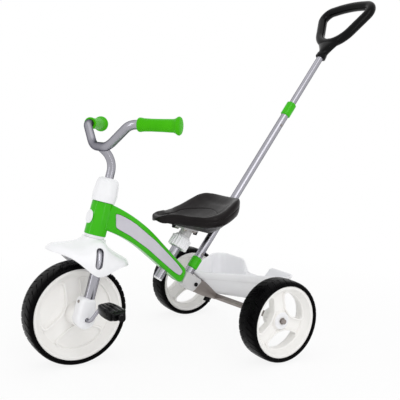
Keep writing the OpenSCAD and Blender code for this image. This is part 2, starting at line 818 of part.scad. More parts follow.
module push_handle() {
    left = [0, -handle_w / 2, handle_corner_up];
    right = [0, handle_w / 2, handle_corner_up];
    crown = [0, 0, handle_corner_up + handle_bow];
    vertex = [0, 0, handle_vertex_up];
    color(black) pole_frame() difference() {
        union() {
            rod_loop([vertex, left, crown, right],
                [handle_vertex_r, handle_corner_r, handle_bow_r, handle_corner_r], handle_d / 2);
            translate([0, 0, handle_socket_up])
                cylinder(d1 = handle_socket_d, d2 = handle_d - over, h = handle_arc_up - handle_socket_up);
        }
        translate([0, 0, handle_socket_up - over])
            cylinder(d = handle_tube_d + 2 * fit_gap, h = handle_tube_high - handle_socket_up + over);
    }
}

button_d = 7;
button_proud = 1.6;
button_gap = 12;
button_up = collar_h + button_gap;
button_drop = 34;

// Spring button in the wall of the lower tube, at a place along the pole
module snap_button(up) {
    inner = pole_d / 2 - pole_wall;
    pole_frame() translate([0, -inner, up]) rotate([90, 0, 0]) union() {
        cylinder(d = button_d, h = pole_wall + button_proud / 2);
        cylinder(d1 = button_d, d2 = button_d - button_proud, h = pole_wall + button_proud);
    }
}

module pole_button() {
    color(silver) snap_button(button_up);
}

module telescope_button() {
    color(silver) snap_button(collar_up - button_drop);
}

// Tub between the rear wheels

tub_floor_gap = 0.5;
tub_corner = 30;
tub_tip_r = 24;
tub_band_h = 22;
tub_band = 4;
tub_draft = 34;
tub_scoop_w = 134;
tub_scoop_h = 36;
// Share of the scoop's width that its flat bottom has to either side
tub_scoop_share = 0.28;
tub_floor_z = arm_point(stay_root_shares).z + stay_d / 2 + tub_floor_gap;
tub_rim_z = tub_floor_z + tub_h;
tub_round = 32;

// Places of the tub's front tip: at the rim and at the floor, along the arm's upper slope
tub_slope_top = arm_point(arm_shares[6]);
tub_slope_low = arm_point(arm_shares[5]);
tub_lean = (tub_slope_low.x - tub_slope_top.x) / (tub_slope_top.z - tub_slope_low.z);
function tub_tip(z) = tub_slope_top.x + (tub_slope_top.z - z) * tub_lean + tub_floor_gap;

// Three round posts that span the tub's plan between two heights, drawn in by a margin
module tub_posts(z, h, tip_x, rear_x, half_w, margin) {
    translate([tip_x + tub_tip_r, 0, z]) cylinder(r = tub_tip_r - margin, h = h, $fn = tub_round);
    for (side = [-1, 1]) translate([rear_x - tub_corner, side * (half_w - tub_corner), z])
        cylinder(r = tub_corner - margin, h = h, $fn = tub_round);
}

module tub_body(margin, low, high) {
    rear_x = rear_axle.x + tub_rear;
    hull() {
        tub_posts(low, over, tub_tip(low), rear_x - tub_draft / 2, tub_w / 2 - tub_draft, margin);
        tub_posts(high - over, over, tub_tip(high), rear_x, tub_w / 2 - tub_band, margin);
    }
}

module rear_tub() {
    rear_x = rear_axle.x + tub_rear;
    band_z = tub_rim_z - tub_band_h;
    color(white) difference() {
        union() {
            tub_body(0, tub_floor_z, tub_rim_z);
            hull() tub_posts(band_z, tub_band_h, tub_tip(band_z), rear_x, tub_w / 2, -tub_band / 2);
        }
        tub_body(tub_wall, tub_floor_z + tub_wall, tub_rim_z + over);
        translate([rear_x - tub_corner, 0, tub_rim_z]) rotate([0, 90, 0])
            linear_extrude(height = 2 * tub_corner)
                polygon([[-over, -tub_scoop_w / 2 - over], [tub_scoop_h, -tub_scoop_w * tub_scoop_share],
                    [tub_scoop_h, tub_scoop_w * tub_scoop_share], [-over, tub_scoop_w / 2 + over]]);
    }
}

// Fork, its ends, mudguard and boot

fork_end_top = 50;
fork_end_socket = 26;
fork_end_r = 24;
fork_end_inward = 15;
fork_end_outward = 16;
fork_end_in = fork_leg - fork_end_inward;
fork_end_out = fork_leg + fork_end_outward;
fork_end_lobe_r = 13;
fork_end_lobe = [-11, 38];
fork_end_rear = 3;
// The flat part of the shoe starts a little inside its two round parts
fork_end_hip_share = 0.96;

module fork() {
    crown = [0, 0, crown_h];
    out = [0, fork_leg, 0];
    low = fork_end_top - fork_end_socket;
    color(silver) steer_frame() difference() {
        union() {
            bent_rod([[0, -fork_leg, low], crown - out, crown + out, [0, fork_leg, low]],
                [fork_bend, fork_bend], fork_d / 2);
            translate(crown) cylinder(d = steerer_d, h = steerer_top - crown_h);
        }
        translate([0, 0, stem_low]) cylinder(d = stem_d + 2 * fit_gap, h = steerer_top);
    }
}

// White fork shoe in the steering frame: socket for the leg, bush for the axle
module fork_end(side) {
    thick = fork_end_out - fork_end_in;
    hip = fork_end_r * fork_end_hip_share;
    color(white) steer_frame() on_side(side) difference() {
        translate([0, -fork_end_in, 0]) rotate([90, 0, 0]) union() {
            cylinder(r = fork_end_r, h = thick);
            translate(fork_end_lobe) cylinder(r = fork_end_lobe_r, h = thick);
            linear_extrude(height = thick) polygon([[-hip, 0],
                [fork_end_lobe.x - fork_end_lobe_r * fork_end_hip_share, fork_end_lobe.y],
                [fork_end_lobe.x, fork_end_top], [fork_d / 2 + fork_end_rear, fork_end_top], [hip, 0]]);
        }
        translate([0, -fork_leg, fork_end_top - fork_end_socket])
            cylinder(d = fork_d + 2 * fit_gap, h = fork_end_socket + fork_end_lobe_r);
        translate([0, -fork_end_in + over, 0]) rotate([90, 0, 0])
            cylinder(d = axle_bush_d + 2 * fit_gap, h = thick + 2 * over);
        fork_screw_place() translate([0, 0, -fork_screw_l])
            cylinder(d = fork_screw_d + 2 * fit_gap, h = fork_screw_l + over);
    }
}

fork_screw_d = 5;
fork_screw_head = 8;
fork_screw_l = 11;
axle_bush_d = 16;
axle_bush_flange = 1.2;

// Frame at the front of the shoe where the screw that holds the leg goes in, pointing forward
module fork_screw_place() {
    translate([fork_end_lobe.x - fork_end_lobe_r, -fork_leg, fork_end_lobe.y]) rotate([0, -90, 0]) children();
}

module fork_screws() {
    color(silver) steer_frame() for (side = [-1, 1]) on_side(side) fork_screw_place() union() {
        translate([0, 0, -fork_screw_l]) cylinder(d = fork_screw_d, h = fork_screw_l);
        cylinder(d1 = fork_screw_head, d2 = fork_screw_d, h = fork_screw_d / 2);
    }
}

module axle_bushes() {
    color(white) steer_frame() for (side = [-1, 1]) on_side(side) translate([0, -fork_end_in, 0])
        rotate([90, 0, 0])
            ring(axle_bush_d / 2, crank_d / 2 + run_gap, fork_end_out - fork_end_in + axle_bush_flange);
}

guard_turns = 48;
guard_steps = 8;
guard_neck_r = 30;
guard_tip_z = 137;
guard_power = 1.8;
guard_drop_power = 7;
// Rim of the wings that turns down: its height, and how late along the wing it turns
guard_lip = 7;
guard_lip_power = 8;
guard_side_power = 3;
guard_flare_power = 0.55;
// Shares of the wall that the inner skin keeps off the outer one: outward at the neck, what the sides add,
// and what they take off downward
guard_skin_shares = [0.35, 0.65, 0.9];
guard_slot_w = 19;
guard_slot_x = -5;
guard_slot_low = 136.5;
guard_slot_high = 165.5;
// Distance from the middle at which the slots start
guard_slot_in = fork_leg - fork_d / 2;

// Radius of the mudguard's edge at an angle about the steering axis
function guard_edge(turn) =
    let (along = abs(cos(turn)) / (cos(turn) < 0 ? guard_front_l : guard_rear_l),
        across = abs(sin(turn)) / guard_half_w)
    pow(pow(along, guard_power) + pow(across, guard_power), -1 / guard_power);

// Point of the mudguard's outer skin, from its neck (0) to its edge (1), drawn in by a wall
function guard_point(turn, t, wall) =
    let (edge = guard_edge(turn),
        side = pow(abs(sin(turn)), guard_side_power),
        lip = guard_lip * (1 - side),
        edge_z = guard_tip_z - guard_drop * pow(edge * abs(sin(turn)) / guard_half_w, guard_drop_power) + lip,
        r = guard_neck_r + (edge - guard_neck_r) * (side * sin(90 * t) + (1 - side) * t),
        fall = side * (1 - cos(90 * t)) + (1 - side) * pow(t, guard_flare_power),
        z = guard_top - (guard_top - edge_z) * fall - lip * pow(t, guard_lip_power),
        skin_r = r - wall * (guard_skin_shares[0] + guard_skin_shares[1] * side * t))
    [skin_r * cos(turn), skin_r * sin(turn), z - wall * (1 - guard_skin_shares[2] * side * t)];

module mudguard() {
    loop = [for (i = [0:guard_turns - 1]) 360 * i / guard_turns];
    outer = [for (j = [0:guard_steps]) [for (turn = loop) guard_point(turn, j / guard_steps, 0)]];
    inner = [for (j = [guard_steps:-1:0]) [for (turn = loop) guard_point(turn, j / guard_steps, guard_wall)]];
    rings = concat(outer, inner);
    n = guard_turns;
    m = len(rings);
    faces = [for (j = [0:m - 1], i = [0:n - 1])
        let (a = j * n + i,
            b = j * n + (i + 1) % n,
            c = (j + 1) % m * n + i,
            d = (j + 1) % m * n + (i + 1) % n)
        each [[a, b, c], [b, d, c]]];
    color(white) steer_frame() union() {
        difference() {
            polyhedron(points = [for (ring = rings) each ring], faces = faces, convexity = 6);
            for (side = [-1, 1]) on_side(side) translate([guard_slot_x, -guard_slot_in, 0]) rotate([90, 0, 0])
                hull() for (z = [guard_slot_low, guard_slot_high])
                    translate([0, z, 0]) cylinder(d = guard_slot_w, h = guard_half_w);
        }
        translate([0, 0, guard_seat])
            ring(guard_neck_r - guard_wall / 3, steerer_d / 2 + fit_gap, guard_top - guard_seat);
    }
}

boot_r = 29;
boot_shoulder_r = 27;
boot_wall = 3;
boot_bulge = 1.5;
// Heights of the boot's widest ring and of its shoulder, and of the round above the shoulder in walls
boot_height_shares = [0.3, 0.86];
boot_round_share = 1.6;

module boot() {
    low = head_high + move_gap;
    wide = head_high + (boot_top - head_high) * boot_height_shares[0];
    shoulder = head_high + (boot_top - head_high) * boot_height_shares[1];
    hole = stem_d / 2 + fit_gap;
    inner_r = boot_shoulder_r - boot_wall;
    top_r = inner_r - boot_wall;
    color(white) steer_frame() rotate_extrude() polygon([[boot_r - boot_wall, low], [boot_r, low],
        [boot_r + boot_bulge, wide], [boot_shoulder_r, shoulder],
        [inner_r, shoulder + boot_wall * boot_round_share], [top_r, boot_top], [hole, boot_top],
        [hole, boot_top - boot_wall], [top_r, boot_top - boot_wall], [inner_r, shoulder],
        [boot_r + boot_bulge - boot_wall, wide]]);
}

// Handlebar: gooseneck stem and bar in one, with the grips

bar_bend = 45;
bar_low_bend = 81;
bar_low_span = 83;
bar_setback = 17;
grip_run = (bar_width - bar_bend_span) / 2 / cos(grip_sweep);
bar_low = bar_middle + [0, -bar_low_span / 2, 0];
bar_high = bar_middle + [bar_setback, -bar_bend_span / 2, bar_rise];
bar_end = bar_high + [grip_run * sin(grip_sweep), -grip_run * cos(grip_sweep), 0];
grip_wall = 4;
grip_flange_share = 0.08;

function mirror_y(p) = [p.x, -p.y, p.z];

module handlebar() {
    stem_corner = [0, 0, stem_bend_at + stem_bend * tan(stem_turn / 2)];
    color(silver) union() {
        steer_frame() bent_rod([[0, 0, stem_low], stem_corner, stem_end], [stem_bend], stem_d / 2);
        bent_rod([bar_end, bar_high, bar_low, mirror_y(bar_low), mirror_y(bar_high), mirror_y(bar_end)],
            [bar_bend, bar_low_bend, bar_low_bend, bar_bend], bar_d / 2);
    }
}

// Frame at the outer end of the left bar, pointing inward along the bar
module grip_place(side) {
    on_side(side) translate(bar_end) rotate([0, 0, 90 + grip_sweep]) rotate([0, 90, 0]) children();
}

// Grip profile: shares of the grip's length and of its radius
grip_shares = [[0.12, 0.98], [0.16, 1], [0.5, 0.97], [0.86, 0.92], [0.9, 1], [0.97, 1.02], [1, 0.9]];

module grip(side) {
    r = grip_d / 2;
    flange_r = grip_flange_d / 2;
    flange_t = grip_length * grip_flange_share;
    bore = bar_d / 2 + fit_gap;
    color(green) grip_place(side) translate([0, 0, -grip_wall]) rotate_extrude() polygon(concat(
        [[0, 0], [flange_r - grip_wall, 0], [flange_r - grip_wall / 4, grip_wall / 2],
            [flange_r, flange_t / 2], [flange_r - grip_wall / 2, flange_t]],
        [for (s = grip_shares) [s[1] * r, s[0] * grip_length]],
        [[bore, grip_length], [bore, grip_wall], [0, grip_wall]]));
}

// Wheels: the axis of these shapes is Z and their middle is at 0

tyre_shoulder = 8;
tyre_shoulder_drop = 3;
tyre_round = 2.5;

module tyre(outer_d) {
    r = outer_d / 2;
    half = tyre_width / 2;
    edge = [[r - tyre_depth, half], [r - tyre_shoulder_drop - tyre_round, half],
        [r - tyre_shoulder_drop, half - tyre_round], [r, half - tyre_shoulder]];
    rotate_extrude() polygon(concat(edge, [for (i = [3:-1:0]) [edge[i].x, -edge[i].y]]));
}

window_points = 36;
window_power = 5;
window_margin = 7;
// Shares of the rim's radius that the windows and the narrowest part of the barrel reach
window_share = 0.765;
rim_neck_share = 0.79;
rib_w = 4;
rib_h = 5;
rim_lip = 3;
rim_inset = 1;

// Rounded window between two spokes, grown by a margin: turn is its middle, spread its half width in degrees
module spoke_window(inner_r, outer_r, grow, spread, turn) {
    mid = (inner_r + outer_r) / 2;
    reach = (outer_r - inner_r) / 2 + grow;
    wide = spread * 3 / spoke_count + grow / mid * 180 / PI;
    polygon([for (i = [0:window_points - 1])
        let (a = 360 * i / window_points,
            c = sign(cos(a)) * pow(abs(cos(a)), 2 / window_power),
            s = sign(sin(a)) * pow(abs(sin(a)), 2 / window_power),
            r = mid + reach * c,
            w = turn + wide * s)
        [r * cos(w), r * sin(w)]]);
}

// Rim with a dished barrel, spoke web and hub. Its windows have raised edges, and a floor can close them
module rim(outer_d, hub_d, hub_low, hub_high, bore_d, spread, phase, floor_t) {
    r = outer_d / 2 - tyre_depth - fit_gap;
    half = tyre_width / 2 - rim_inset;
    neck = r * rim_neck_share;
    lip = r - rim_wall - rim_lip;
    top = web_t / 2 + rib_h;
    inner = hub_d / 2 + window_margin;
    outer = r * window_share;
    turns = [for (k = [0:spoke_count - 1]) phase + 360 * k / spoke_count];
    difference() {
        union() {
            rotate_extrude() polygon([[r - rim_wall, -half], [r, -half], [r, half], [r - rim_wall, half],
                [lip, half - 2 * rim_lip], [neck, top + over], [neck, -top - over],
                [lip, 2 * rim_lip - half]]);
            difference() {
                union() {
                    translate([0, 0, -web_t / 2]) cylinder(r = neck + over, h = web_t);
                    for (turn = turns) translate([0, 0, -top]) linear_extrude(height = 2 * top)
                        spoke_window(inner, outer, rib_w, spread, turn);
                }
                for (turn = turns) translate([0, 0, -top - over]) linear_extrude(height = 2 * (top + over))
                    spoke_window(inner, outer, 0, spread, turn);
            }
            if (floor_t > 0) translate([0, 0, -floor_t / 2]) cylinder(r = outer + rib_w / 2, h = floor_t);
            translate([0, 0, hub_low]) cylinder(d1 = hub_d - rib_h, d2 = hub_d, h = -hub_low - web_t / 2);
            cylinder(d1 = hub_d, d2 = hub_d - rib_h, h = hub_high);
        }
        translate([0, 0, hub_low - over]) cylinder(d = bore_d, h = hub_high - hub_low + 2 * over);
    }
}

front_hub_half = fork_end_in - move_gap;
front_phase = 158;
rear_phase = 160;

module front_place() {
    translate(front_axle) rotate([90, 0, 0]) children();
}

module rear_place(side) {
    translate([rear_axle.x, side * track / 2, rear_axle.z]) rotate([90, 0, 0]) children();
}

module front_rim() {
    color(ivory) front_place()
        rim(front_wheel_d, front_hub_d, -front_hub_half, front_hub_half, crank_d + 2 * fit_gap,
            front_window_turn, front_phase, pocket_t);
}

module front_tyre() {
    color(black) front_place() tyre(front_wheel_d);
}

module rear_rim(side) {
    inner = tyre_width / 2 + hub_inset;
    outer = hub_outer - track / 2;
    color(ivory) rear_place(side) rim(rear_wheel_d, rear_hub_d, side < 0 ? -inner : -outer,
        side < 0 ? outer : inner, axle_d + 2 * run_gap, rear_window_turn, rear_phase, 0);
}

module rear_tyre(side) {
    color(black) rear_place(side) tyre(rear_wheel_d);
}

// Cranks and pedals

crank_bend = 12;
// Room between the fork shoe and the crank
crank_room = 18;
crank_out = fork_end_out + crank_room;
pedal_in = crank_out + crank_bend;
spindle_proud = 4;
spindle_end = pedal_in + pedal_length + spindle_proud;
pedal_tilt = 14;
pedal_ribs = 5;
pedal_rib_h = 1.6;
pedal_cap_t = 6;

function crank_pin(side) = front_axle
    - side * crank_length * [sin(crank_angle), 0, cos(crank_angle)];

module crank_axle() {
    left = crank_pin(-1);
    right = crank_pin(1);
    out = [0, crank_out, 0];
    end = [0, spindle_end, 0];
    color(silver) bent_rod([left - end, left - out, front_axle - out, front_axle + out, right + out,
        right + end], [crank_bend, crank_bend, crank_bend, crank_bend], crank_d / 2);
}

module pedal_caps() {
    color(black) for (side = [-1, 1])
        translate(crank_pin(side) + [0, side * (spindle_end - pedal_cap_t / 2), 0]) rotate([-90 * side, 0, 0])
            difference() {
                cylinder(d = crank_d + pedal_cap_t, h = pedal_cap_t);
                translate([0, 0, -over]) cylinder(d = crank_d + 2 * fit_gap, h = pedal_cap_t / 2 + over);
            }
}

// Pedal block with round ends in section and cross ribs on both treads
module pedal(side) {
    core_w = pedal_width - pedal_t;
    rib_step = core_w / (pedal_ribs - 1);
    length = pedal_length - pedal_cap_t;
    color(black) translate(crank_pin(side) + [0, side * (pedal_in + move_gap), 0]) rotate([-90 * side, 0, 0])
        rotate([0, 0, -side * pedal_tilt]) difference() {
            union() {
                translate([-core_w / 2, pedal_rib_h - pedal_t / 2, 0])
                    cube([core_w, pedal_t - 2 * pedal_rib_h, length]);
                for (s = [-1, 1]) translate([s * core_w / 2, 0, 0])
                    cylinder(d = pedal_t - 2 * pedal_rib_h, h = length);
                for (i = [0:pedal_ribs - 1])
                    translate([i * rib_step - core_w / 2 - pedal_rib_h, -pedal_t / 2, 0])
                        cube([2 * pedal_rib_h, pedal_t, length]);
            }
            translate([0, 0, -over]) cylinder(d = crank_d + 2 * run_gap, h = length + 2 * over);
        }
}

main_frame();
side_panel(-1);  // side_panel_left
side_panel(1);  // side_panel_right
head_badge();
head_bushing_upper();
head_bushing_lower();
rear_frame();
lug_bolt();
seat_tube();
seat_tube_plug();
pole_socket();
lower_collar();
rear_tub();
axle_nuts();
fork();
fork_end(-1);  // fork_end_left
fork_end(1);  // fork_end_right
fork_screws();
mudguard();
boot();
handlebar();
grip(-1);  // grip_left
grip(1);  // grip_right
axle_bushes();
front_rim();
front_tyre();
crank_axle();
pedal_caps();
pedal(-1);  // pedal_left
pedal(1);  // pedal_right
rear_rim(-1);  // rear_rim_left
rear_tyre(-1);  // rear_tyre_left
rear_rim(1);  // rear_rim_right
rear_tyre(1);  // rear_tyre_right
saddle();
saddle_bracket();
seat_post();
bracket_bolts();
saddle_studs();
seat_clamp_nut();
pole_tube();
upper_collar();
handle_tube();
push_handle();
pole_button();
telescope_button();
tub_screw();
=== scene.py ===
import json
from math import acos, asin, atan2, ceil, copysign, cos, degrees, exp, hypot, pi, radians, sin, sqrt, tan

import bmesh
import bpy
from mathutils import Matrix, Vector


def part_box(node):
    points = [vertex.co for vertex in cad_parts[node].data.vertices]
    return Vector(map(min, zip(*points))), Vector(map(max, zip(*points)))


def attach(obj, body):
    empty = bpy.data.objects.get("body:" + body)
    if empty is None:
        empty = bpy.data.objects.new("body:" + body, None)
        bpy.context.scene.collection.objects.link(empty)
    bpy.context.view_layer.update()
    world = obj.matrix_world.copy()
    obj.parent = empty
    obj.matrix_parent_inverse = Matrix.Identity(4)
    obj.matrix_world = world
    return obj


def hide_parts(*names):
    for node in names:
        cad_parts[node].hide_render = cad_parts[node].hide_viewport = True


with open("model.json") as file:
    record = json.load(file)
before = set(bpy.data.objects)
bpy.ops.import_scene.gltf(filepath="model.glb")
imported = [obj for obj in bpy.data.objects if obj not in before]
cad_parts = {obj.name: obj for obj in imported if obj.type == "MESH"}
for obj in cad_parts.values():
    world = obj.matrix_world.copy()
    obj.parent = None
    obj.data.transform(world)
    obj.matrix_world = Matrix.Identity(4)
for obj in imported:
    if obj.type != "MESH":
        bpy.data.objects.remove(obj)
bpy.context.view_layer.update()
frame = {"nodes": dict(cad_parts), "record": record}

MM = 0.001
SCALE = Matrix.Scale(MM, 4)


# Places of the trike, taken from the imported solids. Shapes below are in millimetres.

def middle(node):
    low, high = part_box(node)
    return (low + high) / 2


def place(x, y, z, turn=0.0):
    """Frame in millimetres at a point given in metres, turned about Y by degrees."""
    return Matrix.Translation((x, y, z)) @ Matrix.Rotation(radians(turn), 4, "Y") @ SCALE


HEAD_ANGLE, POLE_ANGLE = 14.5, 35.7
POLE_X, POLE_Z = 331, 202
front_axle = middle("front_tyre")
ground = place(front_axle.x, 0, 0)
steer = place(*front_axle, HEAD_ANGLE)
pole = place(front_axle.x + POLE_X * MM, 0, POLE_Z * MM, POLE_ANGLE)
facing_left = Matrix.Rotation(radians(90), 4, "X")


# Shader maths

class Wire:
    """A value in a finish. Sums and products of wires add Math nodes."""

    def __init__(self, finish, socket):
        self.finish = finish
        self.socket = socket

    def _math(self, operation, first, second):
        return self.finish.node("ShaderNodeMath", {"operation": operation}, {0: first, 1: second})

    def __add__(self, other):
        return self._math("ADD", self, other)

    def __sub__(self, other):
        return self._math("SUBTRACT", self, other)

    def __mul__(self, other):
        return self._math("MULTIPLY", self, other)

    __radd__ = __add__
    __rmul__ = __mul__


def srgb(*screen):
    """Linear colour of an 8-bit screen colour."""
    shares = [part / 255 for part in screen]
    return *[part / 12.92 if part <= 0.04045 else ((part + 0.055) / 1.055) ** 2.4 for part in shares], 1.0


class Finish:
    """Nodes of one material of the trike, of the floor or of the surroundings."""

    def __init__(self, owner):
        owner.use_nodes = True
        self.owner = owner
        self.tree = owner.node_tree
        self.tree.nodes.clear()

    def node(self, kind, settings=None, sockets=None, out=0):
        """Adds a node: its settings first, then the values or links of its sockets."""
        made = self.tree.nodes.new(kind)
        for name, value in (settings or {}).items():
            setattr(made, name, value)
        for name, value in (sockets or {}).items():
            if isinstance(value, Wire):
                self.tree.links.new(value.socket, made.inputs[name])
            else:
                made.inputs[name].default_value = value
        return Wire(self, made.outputs[out]) if made.outputs else None

    def spot(self):
        """Place on the object, in metres."""
        return self.node("ShaderNodeTexCoord", out="Object")

    def mottle(self, size, detail, roughness=0.5):
        """Noise from 0 to 1 with features of a size in millimetres."""
        sockets = {"Vector": self.spot(), "Scale": 1 / (size * MM), "Detail": detail, "Roughness": roughness}
        return self.node("ShaderNodeTexNoise", None, sockets)

    def grains(self, size):
        """Distance to the nearest grain of a size in millimetres, from 0 to about 1."""
        sockets = {"Vector": self.spot(), "Scale": 1 / (size * MM)}
        return self.node("ShaderNodeTexVoronoi", {"feature": "F1"}, sockets)

    def between(self, value, low, high):
        """Value from 0 to 1 where the input goes from low to high."""
        return self.node("ShaderNodeMapRange", {"clamp": True}, {0: value, 1: low, 2: high})

    def tint(self, amount, first, second):
        """Colour that goes from the first to the second with the amount."""
        return self.node("ShaderNodeMix", {"data_type": "RGBA"}, {0: amount, 6: first, 7: second}, 2)

    def relief(self, height, depth):
        """Normal with the bumps of a height from 0 to 1, of a depth in millimetres."""
        return self.node("ShaderNodeBump", None, {"Strength": 1.0, "Distance": depth * MM, "Height": height})

    def seen_white(self):
        """1 for rays that should meet a white studio: straight views, reflections and clear parts."""
        rays = [self.node("ShaderNodeLightPath", out=f"Is {kind} Ray")
                for kind in ("Camera", "Glossy", "Transmission")]
        return self.between(rays[0] + rays[1] + rays[2], 0, 1)

    def surface(self, **sockets):
        """Ends a material with a principled surface whose sockets are given by name."""
        named = {name.replace("_", " ").title().replace("Ior", "IOR"): value for name, value in sockets.items()}
        return self.end("ShaderNodeOutputMaterial", self.node("ShaderNodeBsdfPrincipled", None, named))

    def end(self, kind, shader):
        self.node(kind, None, {"Surface": shader})
        return self.owner


# Sizes of the clouds, scuffs, skin and grains of moulded surfaces
CLOUD_SIZE, SCUFF_SIZE, SKIN_SIZE, GRAIN_SIZE = 38, 9, 2.2, 0.6
SCUFF_RANGE, WORN_RANGE, WORN_SHARE = (0.52, 0.78), (0.53, 0.62), 0.35
COAT_ROUGHNESS = 0.06


def moulded(name, dark, light, gloss, peel, shine, coat, grain):
    """Moulded plastic: cloudy colour, uneven gloss, a fine skin and paler worn edges."""
    finish = Finish(bpy.data.materials.new(name))
    cloud = finish.mottle(CLOUD_SIZE, 3)
    scuff = finish.between(finish.mottle(SCUFF_SIZE, 4, 0.62), *SCUFF_RANGE)
    skin = finish.mottle(SKIN_SIZE, 2) * (1 - grain) + finish.grains(GRAIN_SIZE) * grain
    paler = (*[min(1, part * 1.4 + 0.015) for part in light[:3]], 1)
    edges = finish.between(finish.node("ShaderNodeNewGeometry", out="Pointiness"), *WORN_RANGE)
    colour = finish.tint(edges * scuff * WORN_SHARE, finish.tint(cloud, dark, light), paler)
    return finish.surface(
        base_color=colour, roughness=gloss + 0.04 * cloud + 0.06 * scuff, specular_ior_level=shine,
        coat_weight=coat, coat_roughness=COAT_ROUGHNESS, normal=finish.relief(skin, peel))


def silvered(name, dark, light, metal, gloss, edge):
    """Silver paint or plated metal: soft clouding of colour and gloss, and a darker look along its edges."""
    finish = Finish(bpy.data.materials.new(name))
    cloud = finish.mottle(30, 3)
    return finish.surface(
        base_color=finish.tint(cloud, dark, light), metallic=metal, roughness=gloss + 0.03 * cloud,
        specular_tint=edge)


def tyre_finish(name):
    """Dull rubber with dust in patches."""
    finish = Finish(bpy.data.materials.new(name))
    cloud = finish.mottle(24, 3)
    dust = finish.between(finish.mottle(5, 5, 0.7), 0.45, 0.8)
    colour = finish.tint(dust * 0.45, finish.tint(cloud, srgb(4, 4, 5), srgb(7, 6, 7)), srgb(14, 13, 13))
    return finish.surface(
        base_color=colour, roughness=0.24 + 0.06 * cloud + 0.08 * dust, specular_ior_level=0.03,
        normal=finish.relief(finish.mottle(1.1, 2), 0.03))


def saddle_finish(name):
    """Grained soft plastic, rubbed smoother in patches."""
    finish = Finish(bpy.data.materials.new(name))
    cloud = finish.mottle(30, 3)
    rubbed = finish.between(finish.mottle(16, 4, 0.6), 0.46, 0.74)
    plain = finish.tint(cloud, srgb(17, 13, 14), srgb(22, 18, 19))
    return finish.surface(
        base_color=finish.tint(rubbed * 0.5, plain, srgb(30, 25, 26)), specular_ior_level=0.13,
        roughness=0.3 + 0.06 * cloud - 0.05 * rubbed, normal=finish.relief(finish.grains(0.9), 0.025))


# Dark and light colour, then roughness, depth of the skin, shine, coat and share of grain
moulded_looks = {
    "green_gloss": ((50, 176, 0), (64, 190, 8), 0.13, 0.006, 0.1, 0.25, 0.0),
    "green_grip": ((58, 172, 6), (74, 188, 18), 0.34, 0.02, 0.07, 0.0, 0.5),
    "white_plastic": ((242, 242, 245), (248, 248, 250), 0.2, 0.006, 0.3, 0.05, 0.0),
    "ivory_plastic": ((246, 244, 241), (251, 250, 248), 0.28, 0.01, 0.4, 0.0, 0.0),
    "black_plastic": ((7, 7, 8), (12, 12, 13), 0.14, 0.006, 0.1, 0.0, 0.0),
}
# Dark and light colour, then share of metal, roughness and tint of the edges
silvered_looks = {
    "panel_silver": ((196, 193, 203), (210, 208, 216), 0.2, 0.32, (0.8, 0.8, 0.82, 1)),
    "tube_silver": ((158, 157, 164), (172, 171, 178), 1.0, 0.22, (0.16, 0.16, 0.18, 1)),
    "bright_steel": ((140, 132, 129), (164, 157, 153), 0.8, 0.3, (0.4, 0.38, 0.37, 1)),
    "grey_paint": ((200, 199, 200), (214, 213, 213), 0.1, 0.3, (0.8, 0.8, 0.8, 1)),
}
finishes = {"tyre_black": tyre_finish("tyre_black"), "saddle_black": saddle_finish("saddle_black")}
for make, looks in ((moulded, moulded_looks), (silvered, silvered_looks)):
    for name, (dark, light, *more) in looks.items():
        finishes[name] = make(name, srgb(*dark), srgb(*light), *more)
slot_of = {part["node"]: part["material_slot"] for part in frame["record"]["subparts"]}


# Mesh making. A part is a list of points and a list of faces, in millimetres.

def loft(rings, closed=False, caps=(0, -1)):
    """Skin over rings of points with the same count, closed by a fan at the rings named in caps."""
    count, rows = len(rings[0]), len(rings)
    points = [Vector(p) for ring in rings for p in ring]
    faces = []
    for j in range(rows if closed else rows - 1):
        a, b = j * count, (j + 1) % rows * count
        faces += [(a + i, a + (i + 1) % count, b + (i + 1) % count, b + i) for i in range(count)]
    for row in () if closed else caps:
        start = row % rows * count
        faces += [(start + i, start + (i + 1) % count, len(points)) for i in range(count)]
        points.append(sum(points[start:start + count], Vector()) / count)
    return points, faces


def faced(rings):
    """Skin over rings, closed at both ends by one flat face."""
    points, faces = loft(rings, caps=())
    count = len(rings[0])
    return points, faces + [tuple(range(count)), tuple(range(len(points) - count, len(points)))]


def turns_round(count):
    """Angles of points spread evenly round a circle."""
    return [2 * pi * i / count for i in range(count)]


def circle(radius, count, height=0.0):
    return [(radius * cos(turn), radius * sin(turn), height) for turn in turns_round(count)]


def rounded(corners, closed=True, steps=5):
    """Outline through corners of two coordinates and a rounding."""
    out = []
    count = len(corners)
    for i, (x, y, bend) in enumerate(corners):
        here = Vector((x, y))
        if bend == 0 or (not closed and i in (0, count - 1)):
            out.append((x, y))
            continue
        before = Vector(corners[i - 1][:2]) - here
        after = Vector(corners[(i + 1) % count][:2]) - here
        half = before.angle(after) / 2
        cut_back = min(bend / tan(half), 0.49 * before.length, 0.49 * after.length)
        start, end = here + before.normalized() * cut_back, here + after.normalized() * cut_back
        for k in range(steps + 1):
            t = k / steps
            p = start * (1 - t) ** 2 + here * 2 * t * (1 - t) + end * t ** 2
            out.append((p.x, p.y))
    return out


def lathe(corners, steps=96, closed=True):
    """Solid of revolution about Z, from corners of radius, height and rounding."""
    return loft([circle(radius, steps, height) for radius, height in rounded(corners, closed)], closed)


def bent_path(points, bends, step=3.75, closed=False):
    """Points along a rod with a round bend at each corner."""
    points = [Vector(p) for p in points]
    count = len(points)
    path = []
    for i, q in enumerate(points):
        if not closed and i in (0, count - 1):
            path.append(q)
            continue
        bend = bends[i] if closed else bends[i - 1]
        d = (q - points[i - 1]).normalized()
        e = (points[(i + 1) % count] - q).normalized()
        turn = d.angle(e)
        inward = (e - d * d.dot(e)).normalized()
        centre = q - d * bend * tan(turn / 2) + inward * bend
        steps = max(4, ceil(turn * bend / step))
        path += [centre - inward * bend * cos(turn * k / steps) + d * bend * sin(turn * k / steps)
                 for k in range(steps + 1)]
    return path


